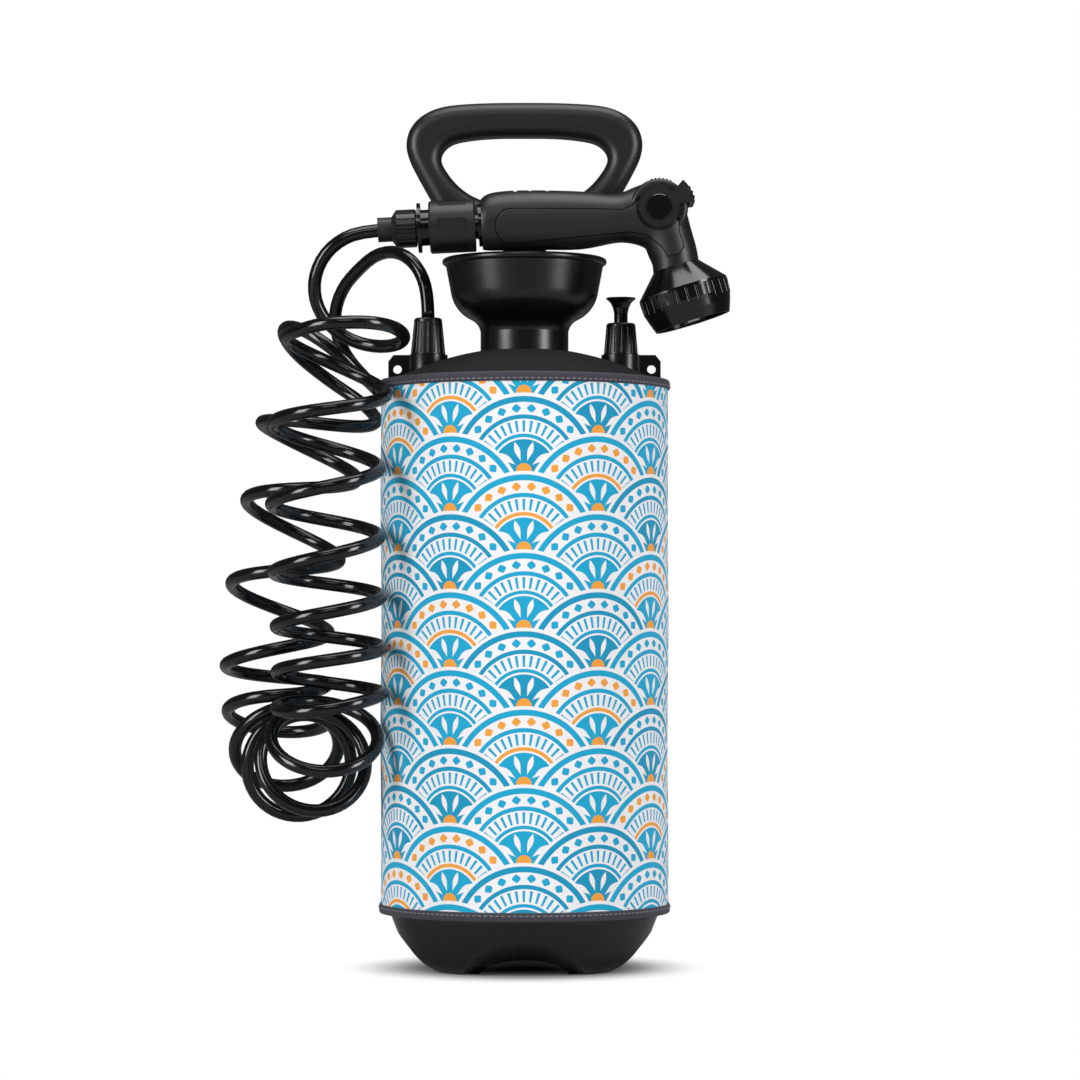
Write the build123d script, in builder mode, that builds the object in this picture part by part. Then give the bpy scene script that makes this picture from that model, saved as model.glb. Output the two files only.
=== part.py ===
from build123d import *
import math
import os

# A pump-pressure portable shower. Millimetres, +Z up, +X to the right and +Y away from
# the viewer. The origin is on the floor, on the tank's axis, between its four feet.

# Fits and clearances
seat_gap = 0.1        # between pieces that are seated in one another and don't move
lay_gap = 0.3         # between a soft cover and the tank under it
running_gap = 0.05    # radial clearance of a shaft that turns or slides in its bore
free_gap = 0.35       # between pieces that move past each other

# Tank
tank_radius = 94.8
tank_wall = 2.5
recess_height = 13.0
pad_inset = 26.8
pad_width = 8.0
recess_flare = 12.0
heel_inset = 11.3
heel_height = 15.0
skirt_inset = 3.0
skirt_height = 36.0
taper_height = 60.0
shoulder_start = 395.0
shoulder_edge_inset = 4.8
shoulder_edge_rise = 7.0
shoulder_rise = 26.7
shoulder_crown = 2.5
neck_radius = 30.3
mouth_radius = 21.0

# Scallops between the feet
scallop_radius = 85.0
scallop_outer_height = 28.0
scallop_inner_height = 13.5
foot_count = 4

# Ports and strap lugs on the shoulder
port_inset = 28.3
boss_radius = 13.5
boss_rise = 0.8
boss_root = 2.0
port_bore_radius = 8.0
lug_inset = 0.9
lug_length = 16.9
lug_thickness = 5.0
lug_chamfer = 4.5
lug_hole_radius = 3.0
lug_hole_inset = 6.3
lug_hole_drop = 9.9

# Soft cover: printed sleeve, top panel and their bound edges
sleeve_thickness = 3.6
binding_thickness = 0.7
binding_height = 6.3
panel_thickness = 3.0
sleeve_lift = 2.5
panel_rim_drop = 1.2
panel_hole_gap = 0.7

# Filling funnel
funnel_wall = 2.4
funnel_neck_length = 16.3
funnel_root_flare = 6.7
funnel_root_rise = 9.0
funnel_belly_radius = 45.0
funnel_belly_rise = 15.0
funnel_belly_flare = 5.7
funnel_lip_radius = 54.3
funnel_bowl_height = 33.6
funnel_bead = 2.4

# Pump
collar_flange_radius = 24.0
collar_seal_thickness = 1.7
collar_flange_thickness = 4.0
collar_height = 20.0
collar_grip_radius = 22.0
collar_grooves = 12
collar_shank_depth = 22.0
barrel_radius = 18.0
barrel_wall = 1.6
barrel_bottom = 148.0
barrel_floor = 3.0
barrel_port_radius = 2.5
barrel_port_circle = 8.0
valve_radius = 12.0
valve_thickness = 2.0
valve_stem_radius = 2.0
rod_radius = 6.0
guide_radius = 10.0
guide_flange_radius = 13.0
guide_flange = 1.5
piston_length = 18.0
piston_rest_gap = 3.0
piston_ring_height = 4.0
piston_ring_depth = 2.4

# Pump handle
handle_rise = 35.5
handle_depth = 26.0
handle_round = 9.0
hub_radius = 15.0
hub_overlap = 10.5
rod_seat_depth = 32.0
handle_pin_radius = 2.0
handle_pin_rise = 19.0

# Outlet side: fitting, nut and dip tube
fitting_shank_rise = 13.0
barb_length = 12.0
nut_bottom_radius = 12.0
nut_top_radius = 9.6
nut_lift = 0.5
nut_height = 25.0
nut_ribs = 16
rib_groove_radius = 0.9
dip_tube_radius = 4.0
dip_tube_bore = 2.5
dip_tube_bottom = 32.0
filter_radius = 6.5
filter_height = 16.0
filter_slots = 6

# Relief valve side
relief_cap_height = 21.4
relief_cap_bottom_radius = 11.8
relief_cap_top_radius = 10.0
relief_seat_rise = 2.0
relief_cavity_radius = 6.6
stem_radius = 4.7
poppet_radius = 6.2
poppet_thickness = 2.0
knob_radius = 10.1
knob_rise = 17.6
knob_lip = 1.4
spring_wire = 0.6
spring_turns = 7

# Hose
hose_diameter = 9.0
hose_bore = 3.0
coil_radius = 41.0
coil_bend_radius = 50.0
route_share = 0.45

# Handshower: its axis runs level and climbs a little to the right
shower_x = -28.8
shower_y = -43.0
shower_rise = 21.0
shower_tilt = 2.8
pivot_along = 120.3
pivot_across = 4.6
head_tilt = 17.0
crest_radius = 19.6
crest_half_width = 14.8
crest_round = 3.0
crest_ridges = 6
crest_ridge_radius = 0.7
thumb_notch_radius = 1.6
thumb_notch_line = 22.4
panel_floor = 9.0
panel_groove = 0.6

# Flow lever
lever_plate = 2.6
lever_ring_radius = 13.6
lever_recess_radius = 14.2
lever_tab_inner = 20.9
lever_tab_outer = 24.3
lever_tab_centre = 26.0
lever_tab_spread = 40.0
lever_travel = 60.0
spool_radius = 5.0
spool_waterway = 4.0
inlet_heading = 182.0
cap_radius = 8.6
cap_height = 1.6

# Quick connector on the hose's end
nipple_radius = 8.2
nipple_reach = 22.0
nipple_thread_radius = 9.0
nipple_thread = 12.0
nipple_flange_radius = 14.5
nipple_flange = 2.2
ring_line = 15.0
o_ring_wire = 1.6
connector_neck_radius = 12.2
connector_neck_end = -6.0
connector_sleeve_radius = 17.9
connector_sleeve_start = -35.6
connector_sleeve_end = -4.4
connector_sleeve_bore = 15.4
connector_sleeve_end_wall = 3.0
connector_flange_radius = 16.8
connector_flange_start = -43.6
connector_flange_end = -41.2
connector_stub_radius = 9.6
connector_stub_end = -55.5
connector_pockets = 6
connector_travel = 4.0
shower_nut_radius = 12.9
shower_nut_start = -58.4
shower_nut_end = -44.2
tail_radius = 8.3
tail_start = -70.6
tail_flare = -61.0
tail_end = -58.7
hose_seat_line = -57.0
hose_straight_line = -79.5

# Spray head, measured down its own axis from the lever's pivot
mouth_line = 40.5
mouth_ring_radius = 16.1
cone_plug_radius = 12.0
cone_plug_length = 6.5
cone_radius = 30.8
cone_line = 56.2
cone_lip = 1.4
skirt_radius_head = 28.0
ring_line_start = 58.0
ring_line_end = 80.0
ring_radius = 31.0
ring_end_radius = 26.0
ring_bore = 28.4
ring_grooves = 28
face_line = 74.6
face_thickness = 2.8
face_radius = 23.9
hub_outer = 10.5
spigot_radius = 8.0
screw_boss_radius = 4.5
jet_radius = 0.9
inner_jet_circle = 14.0
inner_jets = 10
outer_jet_circle = 19.5
outer_jets = 16
screw_head_radius = 6.4
screw_head = 1.6
screw_length = 9.0
screw_shank_radius = 1.6

# Places worked out from the sizes above
pad_outer_radius = tank_radius - pad_inset
pad_inner_radius = pad_outer_radius - pad_width
recess_radius = pad_inner_radius - recess_flare
heel_radius = tank_radius - heel_inset
skirt_radius = tank_radius - skirt_inset
shoulder_edge_radius = tank_radius - shoulder_edge_inset
shoulder_edge_height = shoulder_start + shoulder_edge_rise
shoulder_top = shoulder_start + shoulder_rise
shoulder_mid_radius = (shoulder_edge_radius + neck_radius) / 2
shoulder_mid_height = (shoulder_edge_height + shoulder_top) / 2 + shoulder_crown
port_offset = tank_radius - port_inset
boss_top = shoulder_top + boss_rise
boss_bottom = shoulder_edge_height + boss_root
lug_reach = tank_radius - lug_inset
lug_root = lug_reach - lug_length
lug_bottom = shoulder_start + boss_root
lug_hole_offset = lug_reach - lug_hole_inset
lug_hole_height = boss_top - lug_hole_drop
sleeve_bottom = skirt_height + sleeve_lift
panel_rim_height = shoulder_edge_height - panel_rim_drop
funnel_waist_height = shoulder_top + funnel_neck_length
funnel_floor = funnel_waist_height + funnel_root_rise - 1.0
funnel_belly_height = funnel_waist_height + funnel_belly_rise
funnel_lip_height = funnel_belly_height + funnel_bowl_height
collar_top = funnel_floor + collar_height
nut_bottom = boss_top + nut_lift
nut_top = nut_bottom + nut_height
fitting_shank_top = nut_bottom + fitting_shank_rise
relief_cap_top = nut_bottom + relief_cap_height
relief_seat_height = boss_bottom + relief_seat_rise
knob_height = relief_cap_top + knob_rise
shower_z = funnel_lip_height + shower_rise
handle_base = collar_top + handle_rise
hub_top = handle_base + hub_overlap
handle_pin_height = collar_top + handle_pin_rise
panel_lift = lay_gap + panel_thickness
sleeve_inner = tank_radius + lay_gap + binding_thickness
sleeve_outer = sleeve_inner + sleeve_thickness
binding_outer = sleeve_outer + binding_thickness
panel_rim_top = panel_rim_height + panel_thickness
collar_seal_bottom = funnel_floor + free_gap
collar_flange_bottom = collar_seal_bottom + collar_seal_thickness
collar_flange_top = collar_flange_bottom + collar_flange_thickness
collar_bottom = funnel_floor - collar_shank_depth
collar_shank_radius = mouth_radius - 0.2
barrel_bore = barrel_radius - barrel_wall
barrel_top = funnel_floor - 2.0
piston_bottom = barrel_bottom + barrel_floor + piston_rest_gap
piston_top = piston_bottom + piston_length
hub_bottom = collar_top + guide_flange + free_gap
rod_top = hub_bottom + rod_seat_depth
hose_radius = hose_diameter / 2
barb_radius = hose_bore - seat_gap
barb_bore = barb_radius - 1.2
tilt = math.radians(shower_tilt)

shower_plane = Plane(
    origin=(shower_x, shower_y, shower_z),
    x_dir=(math.cos(tilt), 0, math.sin(tilt)),
    z_dir=(0, -1, 0),
)
shower_axis = Axis(shower_plane.origin, shower_plane.x_dir)


def on_shower(along, across, depth=0.0):
    """The row's point that lies so far along and across the handshower's axis."""
    return shower_plane.from_local_coords(Vector(along, across, depth))


pivot = on_shower(pivot_along, pivot_across)
lean = math.radians(head_tilt)
head_plane = Plane(
    origin=pivot,
    x_dir=(math.cos(lean), 0, math.sin(lean)),
    z_dir=(0, 1, 0),
)
head_axis = Axis(pivot, head_plane.y_dir)
pivot_plane = Plane(origin=pivot, x_dir=shower_plane.x_dir, z_dir=(0, -1, 0))


def port_axis(x):
    """The upright axis of the port at that place on the shoulder."""
    return Axis((x, 0, 0), (0, 0, 1))


def filled(*points, mode=Mode.ADD):
    """Fills the closed outline through the points, in the sketch in progress."""
    with BuildLine() as outline:
        Polyline(*points, close=True)
    make_face(outline.edges(), mode=mode)


def turned_port(x, *points):
    """A piece turned about the port's axis from radius and height pairs."""
    with BuildPart() as turned:
        with BuildSketch(Plane.XZ):
            filled(*[(x + radius, height) for radius, height in points])
        revolve(axis=port_axis(x))
    return turned.part


def turned_on_shower(*points):
    """A piece turned about the handshower's axis from place and radius pairs."""
    with BuildPart() as turned:
        with BuildSketch(shower_plane):
            filled(*points)
        revolve(axis=shower_axis)
    return turned.part


def turned_on_head(*points):
    """A piece turned about the spray head's axis from radius and depth pairs."""
    with BuildPart() as turned:
        with BuildSketch(head_plane):
            filled(*points)
        revolve(axis=head_axis)
    return turned.part


# Tank: a blow-moulded bottle on four feet
def tank_form(inset):
    """The tank's outer form, or the same form drawn in by a wall."""
    with BuildPart() as form:
        with BuildSketch(Plane.XZ):
            with BuildLine() as outline:
                Polyline(
                    (0, recess_height + inset),
                    (recess_radius, recess_height + inset),
                    (pad_inner_radius + 0.3 * inset, inset),
                    (pad_outer_radius - 0.3 * inset, inset),
                )
                ThreePointArc(
                    (pad_outer_radius - 0.3 * inset, inset),
                    (pad_outer_radius + 9.6 - 0.7 * inset, 4.8 + 0.7 * inset),
                    (heel_radius - 0.9 * inset, heel_height + 0.4 * inset),
                )
                Polyline(
                    (heel_radius - 0.9 * inset, heel_height + 0.4 * inset),
                    (skirt_radius - inset, skirt_height),
                    (tank_radius - inset, taper_height),
                    (tank_radius - inset, shoulder_start),
                )
                ThreePointArc(
                    (tank_radius - inset, shoulder_start),
                    (tank_radius - 1.2 - 0.8 * inset, shoulder_start + 4.3 - 0.6 * inset),
                    (shoulder_edge_radius - 0.3 * inset, shoulder_edge_height - inset),
                )
                ThreePointArc(
                    (shoulder_edge_radius - 0.3 * inset, shoulder_edge_height - inset),
                    (shoulder_mid_radius, shoulder_mid_height - inset),
                    (neck_radius, shoulder_top - inset),
                )
                Polyline(
                    (neck_radius, shoulder_top - inset),
                    (0, shoulder_top - inset),
                    (0, recess_height + inset),
                )
            make_face(outline.edges())
        revolve(axis=Axis.Z)
    return form.part


def scallops(inset):
    """The four slanting hollows between the feet, or the same hollows with a wall round them."""
    fall = scallop_outer_height - scallop_inner_height
    slope = math.atan2(fall, skirt_radius - pad_inner_radius)
    lead = 30.0
    reach = (skirt_radius - recess_radius) / math.cos(slope) + lead
    with BuildPart() as hollows:
        for quarter in range(foot_count):
            turn = 2 * math.pi * quarter / foot_count
            inward = Vector(-math.sin(turn), math.cos(turn), 0)
            along = inward * math.cos(slope) - Vector(0, 0, math.sin(slope))
            below = -inward * math.sin(slope) - Vector(0, 0, math.cos(slope))
            crown = -inward * skirt_radius + Vector(0, 0, scallop_outer_height)
            start = crown + below * scallop_radius - along * lead
            with BuildSketch(Plane(origin=start, z_dir=along)):
                Circle(scallop_radius + inset)
            extrude(amount=reach)
    return hollows.part


with BuildPart() as tank_outside:
    add(tank_form(0))
    add(scallops(0), mode=Mode.SUBTRACT)

with BuildPart() as tank_cavity:
    add(tank_form(tank_wall))
    add(scallops(tank_wall), mode=Mode.SUBTRACT)

with BuildPart() as tank:
    add(tank_outside.part)
    add(tank_cavity.part, mode=Mode.SUBTRACT)
    with BuildSketch(Plane.XY.offset(boss_bottom)):
        with Locations((-port_offset, 0), (port_offset, 0)):
            Circle(boss_radius)
    extrude(amount=boss_top - boss_bottom)
    for side in (-1, 1):
        with BuildSketch(Plane.XZ):
            filled(
                (side * lug_root, lug_bottom),
                (side * lug_reach, lug_bottom),
                (side * lug_reach, boss_top - lug_chamfer),
                (side * (lug_reach - lug_chamfer * 0.8), boss_top),
                (side * lug_root, boss_top),
            )
        extrude(amount=lug_thickness / 2, both=True)
    with BuildSketch(Plane.XZ):
        with Locations(
            (-lug_hole_offset, lug_hole_height), (lug_hole_offset, lug_hole_height)
        ):
            Circle(lug_hole_radius)
    extrude(amount=lug_thickness, both=True, mode=Mode.SUBTRACT)
    with BuildSketch(Plane.XY.offset(boss_bottom - 1)):
        with Locations((-port_offset, 0), (port_offset, 0)):
            Circle(port_bore_radius)
    extrude(amount=boss_top - boss_bottom + 2, mode=Mode.SUBTRACT)
    with BuildSketch(Plane.XY.offset(shoulder_top - 2 * tank_wall)):
        Circle(mouth_radius)
    extrude(amount=3 * tank_wall, mode=Mode.SUBTRACT)


# Soft cover
with BuildPart() as top_panel:
    with BuildSketch(Plane.XZ):
        with BuildLine() as panel_outline:
            ThreePointArc(
                (shoulder_edge_radius, shoulder_edge_height + lay_gap),
                (shoulder_mid_radius, shoulder_mid_height + lay_gap),
                (neck_radius, shoulder_top + lay_gap),
            )
            Polyline(
                (neck_radius, shoulder_top + lay_gap),
                (neck_radius, shoulder_top + panel_lift),
            )
            ThreePointArc(
                (neck_radius, shoulder_top + panel_lift),
                (shoulder_mid_radius, shoulder_mid_height + panel_lift),
                (shoulder_edge_radius, shoulder_edge_height + panel_lift),
            )
            Polyline(
                (shoulder_edge_radius, shoulder_edge_height + panel_lift),
                (tank_radius, panel_rim_top),
                (sleeve_outer, panel_rim_top),
                (sleeve_outer, panel_rim_height),
                (tank_radius + lay_gap, panel_rim_height),
                (shoulder_edge_radius, shoulder_edge_height + lay_gap),
            )
        make_face(panel_outline.edges())
    revolve(axis=Axis.Z)
    with BuildSketch(Plane.XY.offset(lug_bottom)):
        Circle(neck_radius + panel_hole_gap)
        with Locations((-port_offset, 0), (port_offset, 0)):
            Circle(boss_radius + panel_hole_gap)
        for side in (-1, 1):
            with Locations((side * (lug_reach + lug_root) / 2, 0)):
                Rectangle(
                    lug_reach - lug_root + 2 * panel_hole_gap,
                    lug_thickness + 2 * panel_hole_gap,
                )
    extrude(amount=binding_outer, mode=Mode.SUBTRACT)

with BuildPart() as sleeve:
    with BuildSketch(Plane.XY.offset(sleeve_bottom + binding_thickness)):
        Circle(sleeve_outer)
        Circle(sleeve_inner, mode=Mode.SUBTRACT)
    extrude(amount=panel_rim_height - sleeve_bottom - binding_thickness)

with BuildPart() as top_binding:
    with BuildSketch(Plane.XZ):
        binding_top = panel_rim_top + binding_thickness
        filled(
            (sleeve_outer, binding_top - binding_height),
            (binding_outer, binding_top - binding_height),
            (binding_outer, binding_top),
            (tank_radius + lay_gap, binding_top),
            (tank_radius + lay_gap, panel_rim_top),
            (sleeve_outer, panel_rim_top),
        )
    revolve(axis=Axis.Z)

with BuildPart() as bottom_binding:
    with BuildSketch(Plane.XZ):
        bound_top = sleeve_bottom + binding_height
        filled(
            (tank_radius + lay_gap, sleeve_bottom),
            (binding_outer, sleeve_bottom),
            (binding_outer, bound_top),
            (sleeve_outer, bound_top),
            (sleeve_outer, sleeve_bottom + binding_thickness),
            (sleeve_inner, sleeve_bottom + binding_thickness),
            (sleeve_inner, bound_top),
            (tank_radius + lay_gap, bound_top),
        )
    revolve(axis=Axis.Z)

# Filling funnel on the tank's neck
funnel_root_radius = neck_radius + funnel_root_flare
funnel_root_height = funnel_waist_height + funnel_root_rise
funnel_wall_radius = funnel_belly_radius + funnel_belly_flare
funnel_wall_height = funnel_belly_height + 12.0

with BuildPart() as funnel:
    with BuildSketch(Plane.XZ):
        with BuildLine() as funnel_outline:
            Polyline(
                (mouth_radius, shoulder_top),
                (neck_radius, shoulder_top),
                (neck_radius, funnel_waist_height),
            )
            ThreePointArc(
                (neck_radius, funnel_waist_height),
                (neck_radius + 1.9, funnel_waist_height + 5.0),
                (funnel_root_radius, funnel_root_height),
            )
            ThreePointArc(
                (funnel_root_radius, funnel_root_height),
                (funnel_belly_radius, funnel_belly_height),
                (funnel_wall_radius, funnel_wall_height),
            )
            Polyline(
                (funnel_wall_radius, funnel_wall_height),
                (funnel_lip_radius, funnel_lip_height - funnel_bead),
            )
            ThreePointArc(
                (funnel_lip_radius, funnel_lip_height - funnel_bead),
                (funnel_lip_radius + funnel_bead, funnel_lip_height),
                (funnel_lip_radius, funnel_lip_height + funnel_bead),
            )
            ThreePointArc(
                (funnel_lip_radius, funnel_lip_height + funnel_bead),
                (funnel_lip_radius - 0.7 * funnel_bead, funnel_lip_height + 0.7 * funnel_bead),
                (funnel_lip_radius - funnel_wall, funnel_lip_height),
            )
            Polyline(
                (funnel_lip_radius - funnel_wall, funnel_lip_height),
                (funnel_wall_radius - funnel_wall, funnel_wall_height),
            )
            ThreePointArc(
                (funnel_wall_radius - funnel_wall, funnel_wall_height),
                (funnel_belly_radius - funnel_wall, funnel_belly_height + 1.6),
                (funnel_root_radius - funnel_wall, funnel_floor + 2.0),
            )
            Polyline(
                (funnel_root_radius - funnel_wall, funnel_floor + 2.0),
                (collar_flange_radius + 2.0, funnel_floor),
                (mouth_radius, funnel_floor),
                (mouth_radius, shoulder_top),
            )
        make_face(funnel_outline.edges())
    revolve(axis=Axis.Z)

# Pump: collar, seal, barrel, rod guide and check valve
with BuildPart() as pump_collar:
    with BuildSketch(Plane.XZ):
        filled(
            (barrel_radius + seat_gap, collar_bottom),
            (collar_shank_radius, collar_bottom),
            (collar_shank_radius, collar_flange_bottom),
            (collar_flange_radius, collar_flange_bottom),
            (collar_flange_radius, collar_flange_top),
            (collar_grip_radius, collar_flange_top),
            (collar_grip_radius - 1.0, collar_top),
            (guide_radius + seat_gap, collar_top),
            (guide_radius + seat_gap, barrel_top + seat_gap),
            (barrel_radius + seat_gap, barrel_top + seat_gap),
        )
    revolve(axis=Axis.Z)
    with BuildSketch(Plane.XY.offset(collar_flange_top)):
        with PolarLocations(collar_grip_radius + 0.8, collar_grooves):
            Circle(2.2)
    extrude(amount=collar_top - collar_flange_top, mode=Mode.SUBTRACT)

with BuildPart() as collar_seal:
    with BuildSketch(Plane.XY.offset(collar_seal_bottom)):
        Circle(collar_flange_radius)
        Circle(mouth_radius, mode=Mode.SUBTRACT)
    extrude(amount=collar_seal_thickness)

with BuildPart() as pump_barrel:
    with BuildSketch(Plane.XZ):
        filled(
            (0, barrel_bottom),
            (barrel_radius, barrel_bottom),
            (barrel_radius, barrel_top),
            (barrel_bore, barrel_top),
            (barrel_bore, barrel_bottom + barrel_floor),
            (0, barrel_bottom + barrel_floor),
        )
    revolve(axis=Axis.Z)
    with BuildSketch(Plane.XY.offset(barrel_bottom)):
        Circle(valve_stem_radius + seat_gap)
        with PolarLocations(barrel_port_circle, 4):
            Circle(barrel_port_radius)
    extrude(amount=barrel_floor, mode=Mode.SUBTRACT)

with BuildPart() as check_valve:
    with BuildSketch(Plane.XZ):
        lip_top = barrel_bottom - seat_gap
        filled(
            (0, lip_top - valve_thickness),
            (valve_radius * 0.6, lip_top - valve_thickness),
            (valve_radius, lip_top - 0.6),
            (valve_radius, lip_top),
            (valve_stem_radius, lip_top),
            (valve_stem_radius, barrel_bottom + barrel_floor + 0.2),
            (valve_stem_radius + 0.8, barrel_bottom + barrel_floor + 0.2),
            (0.8, barrel_bottom + barrel_floor + 2.0),
            (0, barrel_bottom + barrel_floor + 2.0),
        )
    revolve(axis=Axis.Z)

with BuildPart() as rod_guide:
    with BuildSketch(Plane.XZ):
        filled(
            (rod_radius + running_gap, barrel_top + seat_gap),
            (guide_radius, barrel_top + seat_gap),
            (guide_radius, collar_top),
            (guide_flange_radius, collar_top),
            (guide_flange_radius, collar_top + guide_flange),
            (rod_radius + running_gap, collar_top + guide_flange),
        )
    revolve(axis=Axis.Z)

# Plunger: rod, piston, ring, handle and cross pin
with BuildPart() as pump_rod:
    with BuildSketch(Plane.XY.offset(piston_bottom + 2)):
        Circle(rod_radius)
    extrude(amount=rod_top - piston_bottom - 2)
    with BuildSketch(Plane.XZ):
        with Locations((0, handle_pin_height)):
            Circle(handle_pin_radius + running_gap)
    extrude(amount=rod_radius, both=True, mode=Mode.SUBTRACT)

with BuildPart() as piston:
    with BuildSketch(Plane.XZ):
        ring_low = piston_bottom + 5.0
        ring_high = ring_low + piston_ring_height + 2 * seat_gap
        groove = barrel_bore - piston_ring_depth - seat_gap
        filled(
            (0, piston_bottom),
            (barrel_bore - free_gap, piston_bottom),
            (barrel_bore - free_gap, ring_low),
            (groove, ring_low),
            (groove, ring_high),
            (barrel_bore - free_gap, ring_high),
            (barrel_bore - free_gap, piston_top - 4),
            (rod_radius + 3, piston_top),
            (rod_radius + seat_gap, piston_top),
            (rod_radius + seat_gap, piston_bottom + 2 - seat_gap),
            (0, piston_bottom + 2 - seat_gap),
        )
    revolve(axis=Axis.Z)

with BuildPart() as piston_ring:
    with BuildSketch(Plane.XY.offset(ring_low + seat_gap)):
        Circle(barrel_bore - running_gap)
        Circle(barrel_bore - piston_ring_depth, mode=Mode.SUBTRACT)
    extrude(amount=piston_ring_height)

handle_outside = (
    # distance to the side and height over the handle's base
    (0, 94.5), (41, 93.5), (64, 89.1), (78, 77.5), (81.3, 64.5), (75.5, 47.5),
    (65, 28.5), (52, 11), (34, 2), (0, 0),
)
handle_opening = (
    (0, 70.8), (22, 70.5), (41, 68.5), (52.3, 64.5), (57.2, 57), (53.3, 46.5),
    (45, 36.7), (35, 29.8), (19, 24.5), (0, 23),
)

with BuildPart() as pump_handle:
    with BuildSketch(Plane.XZ.shift_origin((0, 0, handle_base))):
        for points, mode in ((handle_outside, Mode.ADD), (handle_opening, Mode.SUBTRACT)):
            with BuildLine() as loop:
                Spline(*points, tangents=[(1, 0), (-1, 0)])
                mirror(about=Plane.YZ)
            make_face(loop.edges(), mode=mode)
    extrude(amount=handle_depth / 2, both=True)
    fillet(pump_handle.edges().group_by(Axis.Y)[0], handle_round)
    fillet(pump_handle.edges().group_by(Axis.Y)[-1], handle_round)
    with BuildSketch(Plane.XY.offset(hub_bottom)):
        Circle(hub_radius)
    extrude(amount=hub_top - hub_bottom)
    with BuildSketch(Plane.XY.offset(hub_bottom)):
        Circle(rod_radius + seat_gap)
    extrude(amount=rod_seat_depth + seat_gap, mode=Mode.SUBTRACT)
    with BuildSketch(Plane.XZ):
        with Locations((0, handle_pin_height)):
            Circle(handle_pin_radius + running_gap)
    extrude(amount=hub_radius + 1, both=True, mode=Mode.SUBTRACT)

with BuildPart() as handle_pin:
    with BuildSketch(Plane.XZ):
        with Locations((0, handle_pin_height)):
            Circle(handle_pin_radius)
    extrude(amount=hub_radius - 0.4, both=True)

# Outlet side
with BuildPart() as outlet_fitting:
    add(
        turned_port(
            -port_offset,
            (0, boss_bottom - 8),
            (port_bore_radius - seat_gap, boss_bottom - 8),
            (port_bore_radius - seat_gap, fitting_shank_top - 6),
            (port_bore_radius - 1.5, fitting_shank_top),
            (barb_radius, fitting_shank_top),
            (barb_radius, fitting_shank_top + barb_length),
            (0, fitting_shank_top + barb_length),
        )
    )
    with BuildSketch(Plane.XY.offset(boss_bottom - 8)):
        with Locations((-port_offset, 0)):
            Circle(dip_tube_radius + seat_gap)
    extrude(amount=14, mode=Mode.SUBTRACT)
    with BuildSketch(Plane.XY.offset(boss_bottom - 8)):
        with Locations((-port_offset, 0)):
            Circle(barb_bore)
    extrude(amount=fitting_shank_top + barb_length, mode=Mode.SUBTRACT)

with BuildPart() as outlet_seal:
    with BuildSketch(Plane.XY.offset(boss_top)):
        with Locations((-port_offset, 0)):
            Circle(port_bore_radius + 2.4)
            Circle(port_bore_radius, mode=Mode.SUBTRACT)
    extrude(amount=nut_bottom - boss_top + 1.5)


def ribbed_nut(x, low_radius, high_radius, low, high):
    """A tapered nut with ribs round it, between two heights."""
    flare = math.degrees(math.atan2(low_radius - high_radius, high - low))
    with BuildPart() as nut:
        add(turned_port(x, (0, low), (low_radius, low), (high_radius, high - 1), (high_radius - 1, high), (0, high)))
        with Locations((x, 0, (low + high) / 2 - 1)):
            with PolarLocations((low_radius + high_radius) / 2 + 0.25, nut_ribs):
                Cylinder(
                    rib_groove_radius,
                    high - low - 3,
                    rotation=(0, -flare, 0),
                    mode=Mode.SUBTRACT,
                )
    return nut.part


with BuildPart() as outlet_nut:
    add(ribbed_nut(-port_offset, nut_bottom_radius, nut_top_radius, nut_bottom, nut_top))
    add(
        turned_port(
            -port_offset,
            (0, nut_bottom),
            (port_bore_radius + 2.6, nut_bottom),
            (port_bore_radius + 2.6, nut_bottom + 1.5),
            (port_bore_radius + seat_gap, nut_bottom + 1.5),
            (port_bore_radius + seat_gap, fitting_shank_top + 0.5),
            (hose_radius + seat_gap, fitting_shank_top + 3.5),
            (hose_radius + seat_gap, nut_top),
            (0, nut_top),
        ),
        mode=Mode.SUBTRACT,
    )

with BuildPart() as dip_tube:
    with BuildSketch(Plane.XY.offset(dip_tube_bottom)):
        with Locations((-port_offset, 0)):
            Circle(dip_tube_radius)
            Circle(dip_tube_bore, mode=Mode.SUBTRACT)
    extrude(amount=boss_bottom + 5.5 - dip_tube_bottom)

with BuildPart() as dip_filter:
    with BuildSketch(Plane.XY.offset(dip_tube_bottom - 6)):
        with Locations((-port_offset, 0)):
            Circle(filter_radius)
    extrude(amount=filter_height)
    with BuildSketch(Plane.XY.offset(dip_tube_bottom - seat_gap)):
        with Locations((-port_offset, 0)):
            Circle(dip_tube_radius + seat_gap)
    extrude(amount=filter_height, mode=Mode.SUBTRACT)
    with BuildSketch(Plane.XY.offset(dip_tube_bottom - 6)):
        with Locations((-port_offset, 0)):
            with PolarLocations(0, filter_slots):
                with Locations((filter_radius, 0)):
                    Rectangle(filter_radius, 1.6)
    extrude(amount=4, mode=Mode.SUBTRACT)

# Relief valve side
with BuildPart() as relief_base:
    add(
        turned_port(
            port_offset,
            (stem_radius - 2.2, boss_bottom - 4),
            (port_bore_radius - seat_gap, boss_bottom - 4),
            (port_bore_radius - seat_gap, fitting_shank_top - 4),
            (relief_cavity_radius, fitting_shank_top - 4),
            (relief_cavity_radius, relief_seat_height),
            (stem_radius - 2.2, relief_seat_height),
        )
    )

with BuildPart() as relief_gasket:
    with BuildSketch(Plane.XY.offset(boss_top)):
        with Locations((port_offset, 0)):
            Circle(port_bore_radius + 2.4)
            Circle(port_bore_radius, mode=Mode.SUBTRACT)
    extrude(amount=nut_bottom - boss_top + 1.5)

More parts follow.
